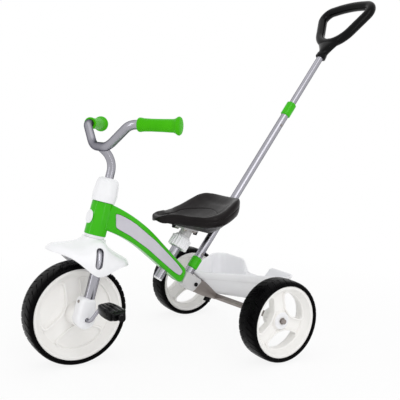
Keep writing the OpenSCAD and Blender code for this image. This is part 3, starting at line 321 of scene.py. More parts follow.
def sweep(path, radius, steps=32, closed=False):
    """Round rod along a path."""
    count = len(path)
    ways = []
    for i in range(count):
        before = path[i - 1] if i or closed else path[i]
        after = path[(i + 1) % count] if i < count - 1 or closed else path[i]
        ways.append((after - before).normalized())
    side = ways[0].orthogonal().normalized()
    rings = []
    for point, way in zip(path, ways):
        side = (side - way * side.dot(way)).normalized()
        over = way.cross(side)
        rings.append([point + side * x + over * y for x, y, _ in circle(radius, steps)])
    return loft(rings, closed)


def plate(outline, half, edge, steps=5):
    """Plate in the X-Z plane with rounded edges, from an outline of points that turn counter-clockwise."""
    count = len(outline)
    inward = []
    for i in range(count):
        way = (Vector(outline[(i + 1) % count]) - Vector(outline[i - 1])).normalized()
        inward.append((-way.y, way.x))
    side = []
    for k in range(steps + 1):
        turn = pi / 2 * k / steps
        side.append((edge * (1 - sin(turn)), half - edge * (1 - cos(turn))))
    return faced([[(p[0] + n[0] * inset, y, p[1] + n[1] * inset) for p, n in zip(outline, inward)]
                  for inset, y in side + [(inset, -y) for inset, y in reversed(side)]])


def moved(part, matrix):
    return [matrix @ Vector(p) for p in part[0]], part[1]


def joined(*parts):
    points, faces = [], []
    for part_points, part_faces in parts:
        base = len(points)
        points += [Vector(p) for p in part_points]
        faces += [tuple(base + i for i in face) for face in part_faces]
    return points, faces


def other_side(p):
    return Vector((p[0], -p[1], p[2]))


def mirrored(part):
    """The same part on the other side of the trike."""
    return [other_side(p) for p in part[0]], [tuple(reversed(face)) for face in part[1]]


def in_scene(name, data):
    """Object that shows some data, linked to the scene."""
    made = bpy.data.objects.new(name, data)
    bpy.context.scene.collection.objects.link(made)
    return made


def shaped(name, part, where, weld=0.0):
    """Mesh object of a part, with its faces turned outward."""
    mesh = bpy.data.meshes.new(name)
    mesh.from_pydata([where @ Vector(p) for p in part[0]], [], part[1])
    shape = bmesh.new()
    shape.from_mesh(mesh)
    if weld:
        bmesh.ops.remove_doubles(shape, verts=shape.verts, dist=weld * MM)
    bmesh.ops.dissolve_degenerate(shape, edges=shape.edges, dist=1e-7)
    bmesh.ops.recalc_face_normals(shape, faces=shape.faces)
    shape.to_mesh(mesh)
    shape.free()
    return in_scene(name, mesh)


def piece(name, part, where, body, slot, stands_for=(), sharp=38, weld=0.0, cutters=()):
    """Adds a piece to the scene, riding on a body, with the finish of a slot."""
    made = shaped(name, part, where, weld)
    tools = [shaped("cutter", cutter, where) for cutter in cutters]
    for tool in tools:
        change = made.modifiers.new("cut", "BOOLEAN")
        change.operation, change.solver, change.object = "DIFFERENCE", "EXACT", tool
    if tools:
        bpy.context.view_layer.update()
        cut = made.evaluated_get(bpy.context.evaluated_depsgraph_get())
        made.data = bpy.data.meshes.new_from_object(cut)
        made.modifiers.clear()
    for tool in tools:
        bpy.data.objects.remove(tool)
    made.data.shade_smooth()
    made.data.set_sharp_from_angle(angle=radians(sharp))
    made.data.materials.append(finishes[slot])
    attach(made, body)
    if stands_for:
        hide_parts(*stands_for)


def eased(share):
    """Smooth step from 0 to 1."""
    share = min(1.0, max(0.0, share))
    return share * share * (3 - 2 * share)


def signed_power(value, power):
    return copysign(abs(value) ** power, value)


def curve_through(rows, at):
    """Smooth value of each column of rows at a place in their first column."""
    last = len(rows) - 1
    k = next((i for i in range(last) if at <= rows[i + 1][0]), last - 1)
    wide = rows[k + 1][0] - rows[k][0]
    t = (at - rows[k][0]) / wide

    def rate(i, column):
        return (rows[i + 1][column] - rows[i][column]) / (rows[i + 1][0] - rows[i][0])

    def slope(i, column):
        if i in (0, last):
            return rate(min(i, last - 1), column)
        left, right = rate(i - 1, column), rate(i, column)
        return 0.0 if left * right <= 0 else 2 * left * right / (left + right)

    out = []
    for column in range(1, len(rows[0])):
        a, b = rows[k][column], rows[k + 1][column]
        m, n = slope(k, column) * wide, slope(k + 1, column) * wide
        out.append((2 * t ** 3 - 3 * t ** 2 + 1) * a + (t ** 3 - 2 * t ** 2 + t) * m
                   + (3 * t ** 2 - 2 * t ** 3) * b + (t ** 3 - t ** 2) * n)
    return out


# Wheels, about Z with the outside of the left ones up

TYRE_HALF, TYRE_DEPTH = 30.0, 13.0
# Swelling of the side walls, the run outward over which it grows and the run up from the rim
TYRE_SWELL, SWELL_OUT, SWELL_UP = 3.5, 20, 6
TREAD_PITCHES = {"front": 44, "rear": 38}
TREAD_SLANT, GROOVE_DEPTH = 0.88, 1.5
# Share of a pitch, and whether the groove is there
groove_columns = ((0.0, 0), (0.045, 1), (0.155, 1), (0.2, 0), (0.47, 0), (0.73, 0))
# Half of the tyre's outline: depth below the tread, distance from the middle and share of the groove's depth
tyre_rows = [
    (0, 0.0, 0), (0, 3.4, 0), (0.1, 4.6, 1), (0.3, 12, 1), (0.8, 18.5, 1), (1.7, 23, 1), (2.9, 26, 1),
    (4.4, 28.2, 0.85), (6.2, 29.4, 0), (8.2, 29.9, 0), (9.3, 29.9, 0), (9.7, 29.4, 0), (10.3, 29.4, 0),
    (10.7, 30.0, 0), (12.2, 29.9, 0), (TYRE_DEPTH, 29.2, 0)
]


def tyre(radius, pitches):
    """Tyre with shallow slanted grooves over both shoulders and a bead line on each side wall."""
    rings = []
    for depth, z, grooved in [(depth, -z, g) for depth, z, g in reversed(tyre_rows[1:])] + tyre_rows:
        r = radius - depth
        wide = z + copysign(TYRE_SWELL, z) * eased(abs(z) / SWELL_OUT) \
            * eased((r - radius + TYRE_DEPTH + 2) / SWELL_UP)
        shift = (0.5 if z < 0 else 0) + TREAD_SLANT * abs(z) / TYRE_HALF
        ring = []
        for k in range(pitches):
            for share, low in groove_columns:
                turn = 2 * pi / pitches * (k + share + shift)
                reach = r - GROOVE_DEPTH * grooved * low
                ring.append((reach * cos(turn), reach * sin(turn), wide))
        rings.append(ring)
    return loft(rings, closed=True)


WINDOW_POINTS, WINDOW_POWER = 88, 4.5
# Turn of the first window, and half the turn from one spoke to the next
SPOKE_PHASE, SPOKE_HALF_TURN = 158, 60
# Half thickness of the web of spokes and height of the raised edge round a window
WEB_HALF, RIB_TOP = 6.0, 11.0
# Radius of the neck and outer radius of the windows in shares of the rim's, and the windows' gap to the hub
NECK_SHARE, WINDOW_SHARE, WINDOW_GAP = 0.82, 0.8, 5
AXLE_BORE_R = 5.1


def window_outline(inner, outer, spoke_w, grow):
    """Radius and turn of points round a window between two parallel-sided spokes, grown by a margin."""
    mid, reach = (inner + outer) / 2, (outer - inner) / 2 + grow
    out = []
    for turn in turns_round(WINDOW_POINTS):
        r = mid + reach * signed_power(cos(turn), 2 / WINDOW_POWER)
        spread = SPOKE_HALF_TURN - degrees(asin((spoke_w / 2 - grow) / r))
        out.append((r, spread * signed_power(sin(turn), 2 / WINDOW_POWER)))
    return out


def polar(r, turn, height):
    return r * cos(radians(turn)), r * sin(radians(turn)), height


def window_border(inner, outer, hub_r, edge_r, spoke_w):
    """Points round a window's sector, each straight out from a point of the window."""
    mid, half = (inner + outer) / 2, SPOKE_HALF_TURN
    border = []
    for r, turn in window_outline(inner, outer, spoke_w, 0):
        limits = [abs(half / turn)] if abs(turn) > 1e-6 else []
        if abs(r - mid) > 1e-6:
            limits.append((edge_r - mid if r > mid else mid - hub_r) / abs(r - mid))
        grow = min(limits)
        border.append([mid + (r - mid) * grow, turn * grow])
    for r, turn in ((hub_r, -half), (hub_r, half), (edge_r, -half), (edge_r, half)):
        near = min(border, key=lambda q: abs(q[0] - r) / (edge_r - hub_r) + abs(q[1] - turn) / (2 * half))
        near[:] = [r, turn]
    return border


def spoke_web(hub_r, inner, outer, edge_r, spoke_w, floor):
    """Web of three spokes. Each window has a raised rounded edge on both faces, and a floor can close it."""
    border = window_border(inner, outer, hub_r, edge_r, spoke_w)
    # Margin round the window and height
    steps = [(5.6, WEB_HALF), (4.7, WEB_HALF + 0.5), (4.2, RIB_TOP - 1.0), (3.4, RIB_TOP), (1.0, RIB_TOP),
             (0.2, RIB_TOP - 0.6), (0.0, RIB_TOP - 1.6)]
    steps += [(-0.6, floor + 1.6), (-2.2, floor)] if floor else []
    sectors = []
    for phase in (SPOKE_PHASE, SPOKE_PHASE + 120, SPOKE_PHASE + 240):
        upper, lower = [], []
        for rings, side in ((upper, 1), (lower, -1)):
            rings.append([polar(r, turn + phase, side * WEB_HALF) for r, turn in border])
            for grow, height in steps:
                rings.append([polar(r, turn + phase, side * height)
                              for r, turn in window_outline(inner, outer, spoke_w, grow)])
        if floor:
            points, faces = joined(loft(upper, caps=(-1,)), loft(lower, caps=(-1,)))
            far = len(points) // 2
        else:
            points, faces = loft(upper + lower[::-1], caps=())
            far = len(points) - WINDOW_POINTS
        for i in range(WINDOW_POINTS):
            j = (i + 1) % WINDOW_POINTS
            if min(abs(border[i][1]), abs(border[j][1])) < SPOKE_HALF_TURN - 1e-6:
                faces.append((i, j, far + j, far + i))
        sectors.append((points, faces))
    return joined(*sectors)


def rim(tyre_r, hub_d, hub_low, hub_high, spoke_w, floor):
    """Dished rim with lips, spoke web and hub."""
    r = tyre_r - TYRE_DEPTH - 0.1
    half = TYRE_HALF - 1
    neck = r * NECK_SHARE
    barrel = [
        (r, -half, 1.5), (r, half, 2), (r - 7, half, 2.5), (r - 10, half - 6, 5), (neck, 11.5, 7),
        (neck - 3, 8.5, 2), (neck - 3, -8.5, 2), (neck, -11.5, 7), (r - 10, 6 - half, 5), (r - 7, -half, 2.5)
    ]
    hub_r = hub_d / 2
    hub = [(AXLE_BORE_R, hub_low, 0.8), (hub_r - 2.5, hub_low, 2.5), (hub_r, -5, 3), (hub_r, 5, 3),
           (hub_r - 2.5, hub_high, 2.5), (AXLE_BORE_R, hub_high, 0.8)]
    web = spoke_web(hub_r - 3, hub_r + WINDOW_GAP, r * WINDOW_SHARE, neck + 1, spoke_w, floor)
    return joined(lathe(barrel, 144), lathe(hub, 72), web)


hub_cover = [(9.6, 13.4, 0.2), (21.6, 13.4, 0.2), (21.6, 14.9, 0.8), (19.5, 15.6, 0.8), (9.6, 15.6, 0.6)]
# Kind, nodes of rim and tyre, body, then the hub's width and ends, a spoke's width and the floor of the windows
wheels = (
    ("front", "front_rim", "front_tyre", "front_wheel", 56, -42.6, 42.6, 42, 2.5),
    ("rear", "rear_rim_left", "rear_tyre_left", "left_rear_wheel", 50, -35, 14, 36, 0),
    ("rear", "rear_rim_right", "rear_tyre_right", "right_rear_wheel", 50, -14, 35, 36, 0)
)
for kind, rim_node, tyre_node, body, *rim_sizes in wheels:
    low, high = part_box(tyre_node)
    radius = (high.z - low.z) / 2 / MM
    where = Matrix.Translation((low + high) / 2) @ facing_left @ SCALE
    piece(tyre_node + "_treaded", tyre(radius, TREAD_PITCHES[kind]), where, body, "tyre_black", (tyre_node,), 34)
    piece(rim_node + "_dished", rim(radius, *rim_sizes), where, body, "ivory_plastic", (rim_node,), 40, weld=0.01)
    if kind == "rear":
        out = 1 if rim_node.endswith("left") else -1
        cover = lathe([(r, out * z, bend) for r, z, bend in hub_cover], 72)
        piece(body + "_hub_cover", cover, where, body, "white_plastic")


# Main frame: head tube, arched beam and side panels

HEAD_LOW, HEAD_LENGTH, HEAD_D, HEAD_TAPER, HEAD_BORE_R = 193.0, 82.0, 54.0, 1.0, 16.6
BEAM_RADIUS, BEAM_STRAIGHT, BEAM_W, BEAM_ROUND = 400.0, 140.0, 42.0, 8.0
SLOPE_FRONT, SLOPE_REAR = radians(20), radians(43)
BEAM_H_FRONT, BEAM_H_REAR, BEAM_RISE, BEAM_FROM = 66.0, 38.0, 244.0, 14.0
BEAM_TIP, BEAM_TIP_INSET, BEAM_END_TILT, BEAM_LEAN_RUN = 14.0, 10.0, radians(17), 40.0
BEAM_STEPS, TIP_STEPS, CORNER_STEPS = 40, 6, 8
PANEL_FROM, PANEL_TO, PANEL_MARGIN, PANEL_POWER, PANEL_POINTS = 36.0, 282.0, 12.0, 4.5, 96
# Shift of the panel's upper and lower edges towards the top of the beam, at its front and rear ends
PANEL_SHIFTS = {1: (-2.0, 4.0), -1: (1.0, -2.0)}
PANEL_RAKE = 9.0
beam_arc = BEAM_RADIUS * (SLOPE_REAR - SLOPE_FRONT)
beam_length = beam_arc + BEAM_STRAIGHT
head_lean = radians(HEAD_ANGLE)
beam_start = Vector((BEAM_RISE * sin(head_lean), 0, front_axle.z / MM + BEAM_RISE * cos(head_lean)))
beam_way = Vector((cos(SLOPE_REAR), 0, -sin(SLOPE_REAR)))


def beam_at(at):
    """Centre, upward normal and half height of the beam at a distance along it."""
    slope = SLOPE_FRONT + min(at, beam_arc) / BEAM_RADIUS
    centre = beam_start + Vector((BEAM_RADIUS * (sin(slope) - sin(SLOPE_FRONT)), 0,
                                  BEAM_RADIUS * (cos(slope) - cos(SLOPE_FRONT))))
    centre += beam_way * max(0.0, at - beam_arc)
    half = (BEAM_H_FRONT + (BEAM_H_REAR - BEAM_H_FRONT) * at / beam_length) / 2
    return centre, Vector((sin(slope), 0, cos(slope))), half


def beam_ring(at, step):
    """Rounded section of the beam, drawn in by a step at the tip."""
    centre, up, half = beam_at(at)
    lean = max(0.0, 1 - (beam_length - at) / BEAM_LEAN_RUN) * tan(BEAM_END_TILT)
    ring = []
    for k, (sy, sz) in enumerate(((1, 1), (-1, 1), (-1, -1), (1, -1))):
        for i in range(CORNER_STEPS + 1):
            turn = radians(90 * k + 90 * i / CORNER_STEPS)
            y = sy * (BEAM_W / 2 - step - BEAM_ROUND) + BEAM_ROUND * cos(turn)
            z = sz * (half - step - BEAM_ROUND) + BEAM_ROUND * sin(turn)
            ring.append(centre + up * z + Vector((0, y, 0)) - beam_way * z * lean)
    return ring


def beam():
    body = beam_length - BEAM_TIP
    rings = [beam_ring(BEAM_FROM + (body - BEAM_FROM) * i / BEAM_STEPS, 0) for i in range(BEAM_STEPS + 1)]
    for i in range(1, TIP_STEPS + 1):
        turn = radians(90 * i / TIP_STEPS)
        rings.append(beam_ring(body + BEAM_TIP * sin(turn), BEAM_TIP_INSET * (1 - cos(turn))))
    return loft(rings)


def head_tube():
    top, high = (HEAD_D - HEAD_TAPER) / 2, HEAD_LOW + HEAD_LENGTH
    return lathe([(HEAD_BORE_R, HEAD_LOW, 0.5), (HEAD_D / 2, HEAD_LOW, 1.8), (top, high, 1.8),
                  (HEAD_BORE_R, high, 0.5)])


def panel_ring(inset, y):
    """Points round the left panel, drawn in by an inset, at a distance in from the beam's side."""
    ring = []
    for turn in turns_round(PANEL_POINTS):
        power = 2 / (PANEL_POWER if cos(turn) > 0 else 2 * PANEL_POWER)
        u, v = signed_power(cos(turn), power), signed_power(sin(turn), power)
        rake = PANEL_RAKE * v * max(0.0, -u) ** 3
        along = (PANEL_FROM + PANEL_TO) / 2 + u * ((PANEL_TO - PANEL_FROM) / 2 - inset) - rake
        centre, up, half = beam_at(along)
        front, rear = PANEL_SHIFTS[1 if v >= 0 else -1]
        shift = (front + (rear - front) * (1 + u) / 2) * abs(v)
        p = centre + up * (shift + v * (half - PANEL_MARGIN - inset))
        ring.append((p.x, y - BEAM_W / 2, p.z))
    return ring


# Insets, and distances in from the beam's side
panel_steps = ((0, 0.4), (0, -0.9), (0.5, -1.45), (1.2, -1.6), (2.6, -1.6), (3.4, -1.2), (4, -1.1))
# Painted shade: a thin black ring round each panel stands in for the shadow in the gap round its recess.
shade_line_steps = ((-0.1, 0.4), (-0.1, -0.35), (-0.7, -0.35), (-0.7, 0.4))
bead_steps = ((-0.7, 0.5), (-0.8, -0.55), (-1.4, -0.95), (-3.2, -0.85), (-5.4, -0.3), (-6.2, 0.5))
side_panel = faced([panel_ring(*step) for step in panel_steps])
panel_shade_line, panel_bead = (loft([panel_ring(*step) for step in steps], closed=True)
                            for steps in (shade_line_steps, bead_steps))
to_ground = ground.inverted() @ steer
beam_and_head = joined(beam(), moved(head_tube(), to_ground), panel_bead, mirrored(panel_bead))
piece("frame_beam", beam_and_head, ground, "frame", "green_gloss", ("main_frame",), 32)
piece("panel_left", side_panel, ground, "frame", "panel_silver", ("side_panel_left",), 40)
piece("panel_right", mirrored(side_panel), ground, "frame", "panel_silver", ("side_panel_right",), 40)
# The black ring round each panel, just proud of the beam, is painted shade for the shadow in the gap round the
# panel.
piece("panel_shade_lines", joined(panel_shade_line, mirrored(panel_shade_line)), ground, "frame", "black_plastic")


# Rear frame: cast lug with its bolt, arm, stays and stub axles

ARM_LENGTH, LUG_H, LUG_HALF, LUG_EDGE, ARM_HALF, ARM_EDGE = 135.0, 40.0, 18.0, 4.5, 13.0, 3.5
REAR_AXLE_X, REAR_AXLE_Z, AXLE_R, AXLE_END = 454.0, 105.0, 5, 246.0
STAY_R, STAY_OUT, BOSS_R, BOSS_IN, BOSS_OUT = 8.0, 181.6, 12, 174.6, 188.6
beam_end = beam_at(beam_length)[0]


def arm_point(along, up):
    """Point of the arm from shares of its length and of the lug's height."""
    lean = Vector((sin(SLOPE_REAR), 0, cos(SLOPE_REAR)))
    return beam_end + beam_way * along * ARM_LENGTH + lean * up * LUG_H


def lug_face(up):
    """Corner of the lug on the tilted end of the beam."""
    return -up * LUG_H * tan(BEAM_END_TILT) / ARM_LENGTH, up


def arm_outline(corners):
    points = [arm_point(along, up) for along, up, _ in corners]
    return rounded([(p.x, p.z, corner[2]) for p, corner in zip(points, corners)], steps=7)


# Corners as shares of the arm's length and of the lug's height, with their rounding
lug_corners = [
    (*lug_face(-0.42), 9), (0.17, -0.44, 16), (0.38, -0.29, 10), (0.4, 0.78, 10), (0.2, 0.6, 16),
    (*lug_face(0.46), 9)
]
arm_corners = [
    (0.27, -0.12, 7), (0.4, -0.25, 7), (0.64, 0, 20), (1, 0.52, 8), (0.9, 0.82, 8), (0.59, 0.94, 14),
    (0.42, 0.75, 7), (0.27, 0.42, 7)
]
lug = plate(arm_outline(lug_corners), LUG_HALF, LUG_EDGE)
piece("lug_cast", lug, ground, "frame", "grey_paint", ("rear_frame",), 50)
stay_root = arm_point(0.95, 0.67)
stays = [sweep([stay_root, Vector((REAR_AXLE_X, side * STAY_OUT, REAR_AXLE_Z))], STAY_R) for side in (-1, 1)]
boss = lathe([
    (0, BOSS_IN, 0), (BOSS_R, BOSS_IN, 2), (BOSS_R, BOSS_OUT, 1.5), (AXLE_R, BOSS_OUT, 0.5),
    (AXLE_R, AXLE_END, 0.8), (0, AXLE_END, 0)
], 48, closed=False)
boss = moved(boss, Matrix.Translation((REAR_AXLE_X, 0, REAR_AXLE_Z)) @ facing_left)
# The arm and stays take a darker steel colour than the lug's pale grey paint: painted shade for the shadow under
# the arm.
arm = plate(arm_outline(arm_corners), ARM_HALF, ARM_EDGE)
arm_and_stays_painted_shade = joined(arm, *stays, boss, mirrored(boss))
piece("arm_and_stays_painted_shade", arm_and_stays_painted_shade, ground, "frame", "bright_steel", sharp=50, weld=0.005)
# Half of the bolt, from the end of its head to its shank
bolt_half = [(0, 21.8, 0), (4.6, 21.8, 1.5), (5.6, 20, 1), (5.6, 18, 0), (3, 18, 0)]
bolt = lathe([(r, -z, bend) for r, z, bend in bolt_half] + bolt_half[::-1], 36, closed=False)
piece("lug_bolt_black", moved(bolt, Matrix.Translation(arm_point(0.31, 0.2)) @ facing_left), ground, "frame",
      "black_plastic", ("lug_bolt",), weld=0.005)


# Saddle

SADDLE_LENGTH, SADDLE_W, SADDLE_Z, SADDLE_NOSE = 235, 218, 352, 212
SADDLE_RISE, SADDLE_DISH, SADDLE_SIDE = 44, 20, 40
# Shares of the length over which the dish sinks at the nose and rises at the rear
DISH_NOSE, DISH_REAR = 0.22, 0.17
PAN_X, PAN_Z, PAN_SLOPE = 316.84, 312.33, tan(radians(14.6))
# Share of the length, then shares of the width, of the rise, of the side's height and of the pan's lift
saddle_rows = [
    (0, 0.06, -0.16, 0.1, 0), (0.02, 0.18, -0.03, 0.36, 0), (0.06, 0.26, 0.05, 0.52, 0),
    (0.12, 0.32, 0.12, 0.6, 0), (0.2, 0.43, 0.12, 0.64, 0), (0.3, 0.62, 0.05, 0.65, 0),
    (0.42, 0.87, 0.04, 0.72, 0), (0.54, 0.985, 0.17, 0.85, 0), (0.64, 1, 0.37, 0.98, 0.24),
    (0.74, 0.96, 0.66, 1.08, 0.6), (0.84, 0.87, 0.94, 1.14, 1.17), (0.9, 0.76, 1.01, 1.0, 1.75),
    (0.94, 0.63, 1.0, 0.82, 2.2), (0.97, 0.48, 0.97, 0.52, 2.5), (0.99, 0.27, 0.93, 0.3, 2.68),
    (1, 0.09, 0.88, 0.1, 2.7)
]
# Tongue-shaped seat area: half width in shares of the saddle's, up to where its round end starts
tongue_rows = [(0.0, 0.2), (0.05, 0.36), (0.1, 0.56), (0.2, 0.67), (0.35, 0.71), (0.5, 0.71)]
TONGUE_ROUND, TONGUE_END = 0.5, 0.745
TONGUE_SUNK, LINE_DEPTH, LINE_W = 0.8, 1.1, 1.3
# Share of the half width, then height from the rim in shares of the dish (top) or of the side's height (side)
top_rows = [(0, -1), (0.2, -0.985), (0.45, -0.84), (0.68, -0.43), (0.8, -0.12), (0.86, -0.02), (0.9, 0.01)]
side_rows = [
    (0.93, -0.012), (0.958, -0.045), (0.98, -0.1), (0.994, -0.18), (1.0, -0.27), (1.0, -0.35), (0.995, -0.395),
    (0.986, -0.42), (0.992, -0.445), (0.996, -0.52), (0.99, -0.65), (0.975, -0.8), (0.94, -0.92), (0.88, -1.0)
]
# Columns of points either side of the tongue's line
line_offsets = (-4, -3, -2.2, -1.5, -0.9, -0.3, 0.3, 0.9, 1.5, 2.2, 3, 4)


def past_round(share):
    """How far along the tongue's round end, from 0 to 1."""
    return max(0.0, share - TONGUE_ROUND) / (TONGUE_END - TONGUE_ROUND)


def tongue_half(share):
    wide = curve_through(tongue_rows, min(share, TONGUE_ROUND))[0]
    return wide * sqrt(max(0.0, 1 - past_round(share) ** 2))


def tongue_depth(share, y, wide):
    """Depth of the seat area and of the line round it."""
    full = tongue_rows[-1][1] * wide
    along, across = past_round(share), y / full
    if along > 0:
        out = hypot(along, across)
        inside = (1 - out) * out / hypot(along / ((TONGUE_END - TONGUE_ROUND) * SADDLE_LENGTH), across / full)
    else:
        inside = tongue_half(share) * wide - y
    sunk = TONGUE_SUNK * eased(inside / 2 + 0.5) + LINE_DEPTH * exp(-(inside / LINE_W) ** 2)
    return eased((share - 0.04) / 0.06) * sunk


def saddle_ring(share):
    wide, rise, side, lift = curve_through(saddle_rows, share)
    x = SADDLE_NOSE + share * SADDLE_LENGTH
    wide *= SADDLE_W / 2
    rim_z = SADDLE_Z + rise * SADDLE_RISE
    dish = SADDLE_DISH * eased(min(share / DISH_NOSE, (1 - share) / DISH_REAR))
    line = min(max(tongue_half(share) * wide, 10.0), 0.7 * wide)
    near = min(1.0, wide / 40)
    columns = [(line - 4 * near) * i / 10 for i in range(10)] + [line + off * near for off in line_offsets]
    columns += [line + 4 * near + (0.9 * wide - line - 4 * near) * i / 14 for i in range(1, 15)]
    half = [(y, rim_z + curve_through(top_rows, y / wide)[0] * dish - tongue_depth(share, y, wide))
            for y in columns]
    half += [(t * wide, rim_z + drop * SADDLE_SIDE * side) for t, drop in side_rows]
    under = PAN_Z - (x - PAN_X) * PAN_SLOPE + lift * SADDLE_SIDE
    low = rim_z - SADDLE_SIDE * side
    half += [(0.84 * wide, low + (under - low) * 0.08 + 0.2), (0.7 * wide, low + (under - low) * 0.52),
             (0.55 * wide, under), (0.25 * wide, under)]
    return [(x, y, z) for y, z in half] + [(x, -y, z) for y, z in reversed(half[1:])]


# Places of the rings, closer at the ends and at the round end of the tongue
saddle_shares = [0.0, 0.004, 0.01, 0.02, 0.035] + [0.05 + 0.65 * i / 56 for i in range(57)] \
    + [0.7 + 0.06 * i / 20 for i in range(1, 21)] + [0.76 + 0.21 * i / 16 for i in range(1, 17)] \
    + [0.98, 0.988, 0.994, 0.998, 1.0]
saddle = loft([saddle_ring(share) for share in saddle_shares])
piece("saddle_dished", saddle, ground, "seat", "saddle_black", ("saddle",), 50)


# Tub between the rear wheels

tub_low, tub_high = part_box("rear_tub")
tub_front_x = (tub_low.x - front_axle.x) / MM + 2
tub_rear_x = (tub_high.x - front_axle.x) / MM - 2
tub_half = tub_high.y / MM - 2
tub_floor = tub_low.z / MM
TUB_RIM, TUB_BAND, TUB_WALL, TUB_DRAFT = tub_high.z / MM, 22.0, 3.0, 34.0
TUB_TIP_R, TUB_CORNER_R, TUB_TIP_SLOPE = 24, 30, 1.05
# Notch in the rear edge: depth, half width, and width of each slope
NOTCH_DEPTH, NOTCH_HALF, NOTCH_SLOPE = 36, 34, 34


def arc(centre, radius, start, end, count):
    """Points of a round corner, without its last one."""
    turns = [start + (end - start) * i / count for i in range(count)]
    return [centre + Vector((cos(turn), sin(turn))) * radius for turn in turns]


def tub_outline(tip_x, rear_x, half_w, out):
    """Rounded triangle: points from the middle of the rear edge round to it again, grown by out."""
    tip_r, corner = TUB_TIP_R + out, TUB_CORNER_R + out
    tip = Vector((tip_x + TUB_TIP_R, 0))
    rear = Vector((rear_x - TUB_CORNER_R, half_w - TUB_CORNER_R))
    run = rear - tip
    turn = atan2(run.y, run.x) + acos((tip_r - corner) / run.length)
    points = [Vector((rear.x + corner, rear.y * i / 14)) for i in range(14)] + arc(rear, corner, 0, turn, 14)
    way = Vector((cos(turn), sin(turn)))
    start, end = rear + way * corner, tip + way * tip_r
    points += [start + (end - start) * i / 16 for i in range(16)] + arc(tip, tip_r, turn, pi, 12)
    points.append(tip + Vector((-tip_r, 0)))
    return points + [Vector((p.x, -p.y)) for p in reversed(points[1:-1])]


def tub_ring(z, out, sunk):
    """Outline of the tub at a height. The rim dips at the back by a notch that the sunk amount lowers."""
    share = min(1.0, max(0.0, (z - tub_floor) / (TUB_RIM - tub_floor)))
    tip = tub_front_x + (TUB_RIM - TUB_BAND - z) * TUB_TIP_SLOPE
    rear, half = tub_rear_x - TUB_DRAFT / 2 * (1 - share), tub_half - 4 - (TUB_DRAFT - 4) * (1 - share)
    ring = []
    for p in tub_outline(tip, rear, half, out):
        at_back = p.x > tub_rear_x - 40
        dip = NOTCH_DEPTH * (1 - eased((abs(p.y) - NOTCH_HALF) / NOTCH_SLOPE)) if at_back else 0
        ring.append((p.x, p.y, min(z, TUB_RIM - dip - sunk)))
    return ring


def tub():
    """Skin from the floor up the outside, over the rolled rim and down the inside."""
    band, wall, floor, top = TUB_RIM - TUB_BAND, -TUB_WALL, tub_floor, TUB_RIM
    steps = [(floor, -7, 9), (floor + 0.6, -3.2, 8), (floor + 2.4, -0.9, 7), (floor + 5, 0, 6)]
    steps += [(floor + 5 + (band - 2 - floor - 5) * i / 6, 0, 5.4 - 0.3 * i) for i in range(1, 7)]
    steps += [(band - 0.6, 0.6, 3.2), (band, 1.8, 3.0), (band + 1.2, 2.2, 2.7), (band + 10, 2.2, 2.2),
              (top - 1.6, 2.2, 1.6), (top - 0.5, 1.7, 0.5), (top, 0.6, 0), (top, -1.6, 0), (top - 0.6, -2.6, 0.6),
              (top - 2, wall, 2)]
    steps += [(top - 2 - (top - 2 - floor - 9) * i / 6, wall, 2.2 + 0.3 * i) for i in range(1, 7)]
    steps += [(floor + 6, wall - 0.8, 6), (floor + 4.2, wall - 3, 7), (floor + 3.4, wall - 7, 8)]
    return loft([tub_ring(*step) for step in steps])


piece("tub_moulded", tub(), ground, "frame", "white_plastic", ("rear_tub",), 36)


# Steering: mudguard, boot, handlebar, grips and fork

GUARD_FRONT, GUARD_REAR, GUARD_HALF, GUARD_NECK = 114.0, 105.0, 80.0, 30.0
GUARD_TOP, GUARD_TIP, GUARD_DROP, GUARD_LIP, GUARD_WALL = 185.6, 139.0, 35.0, 12.0, 2.6
# How round the edge is, how the skirts drop along it, how the wings flare and how late their rim turns down
EDGE_POWER, DROP_POWER, FLARE_POWER, LIP_POWER = 1.8, 7, 0.45, 14
# Dent in the edge at the tips of the wings: share of the length and width
TIP_DENT, TIP_DENT_W = 0.035, 0.16
GUARD_TURNS, GUARD_LEVELS = 120, 32
SLOT_HALF, SLOT_LOW, SLOT_HIGH, SLOT_X, SLOT_STEPS = 9.5, 130.5, 159.5, -5, 16


def guard_point(turn, t, wall):
    """Point of the mudguard's skin, from its neck (0) to its edge (1), drawn in by a wall."""
    c, s = cos(turn), abs(sin(turn))
    length = GUARD_FRONT if c < 0 else GUARD_REAR
    edge = ((abs(c) / length) ** EDGE_POWER + (s / GUARD_HALF) ** EDGE_POWER) ** (-1 / EDGE_POWER)
    edge *= 1 - TIP_DENT * exp(-(s / TIP_DENT_W) ** 2)
    side = s ** 3
    lip = GUARD_LIP * (1 - side)
    edge_z = GUARD_TIP - GUARD_DROP * (edge * s / GUARD_HALF) ** DROP_POWER + lip
    r = GUARD_NECK + (edge - GUARD_NECK) * (side * sin(pi / 2 * t) + (1 - side) * t)
    fall = side * (1 - cos(pi / 2 * t)) + (1 - side) * t ** FLARE_POWER
    z = GUARD_TOP - (GUARD_TOP - edge_z) * fall - lip * t ** LIP_POWER
    r -= wall * (0.35 + 0.65 * side * t)
    return Vector((r * c, r * sin(turn), z - wall * (1 - 0.9 * side * t)))


def guard_shell():
    turns = turns_round(GUARD_TURNS)
    levels = [(1 - cos(pi * j / GUARD_LEVELS)) / 2 for j in range(GUARD_LEVELS + 1)]
    outer = [[guard_point(turn, t, 0) for turn in turns] for t in levels]
    inner = [[guard_point(turn, t, GUARD_WALL) for turn in turns] for t in reversed(levels)]
    lip = [(a + b) / 2 + (a - c).normalized() * 0.5 for a, b, c in zip(outer[-1], inner[0], inner[1])]
    return loft(outer + [lip] + inner, closed=True)


def slot_cutter(from_y, to_y):
    """Upright round-ended slot over a fork leg."""
    outline = []
    for side, z in ((1, SLOT_HIGH), (-1, SLOT_LOW)):
        for i in range(SLOT_STEPS + 1):
            turn = pi * i / SLOT_STEPS
            outline.append((side * SLOT_HALF * cos(turn), z + side * SLOT_HALF * sin(turn)))
    return loft([[(x + SLOT_X, y, z) for x, z in outline] for y in (from_y, to_y)])


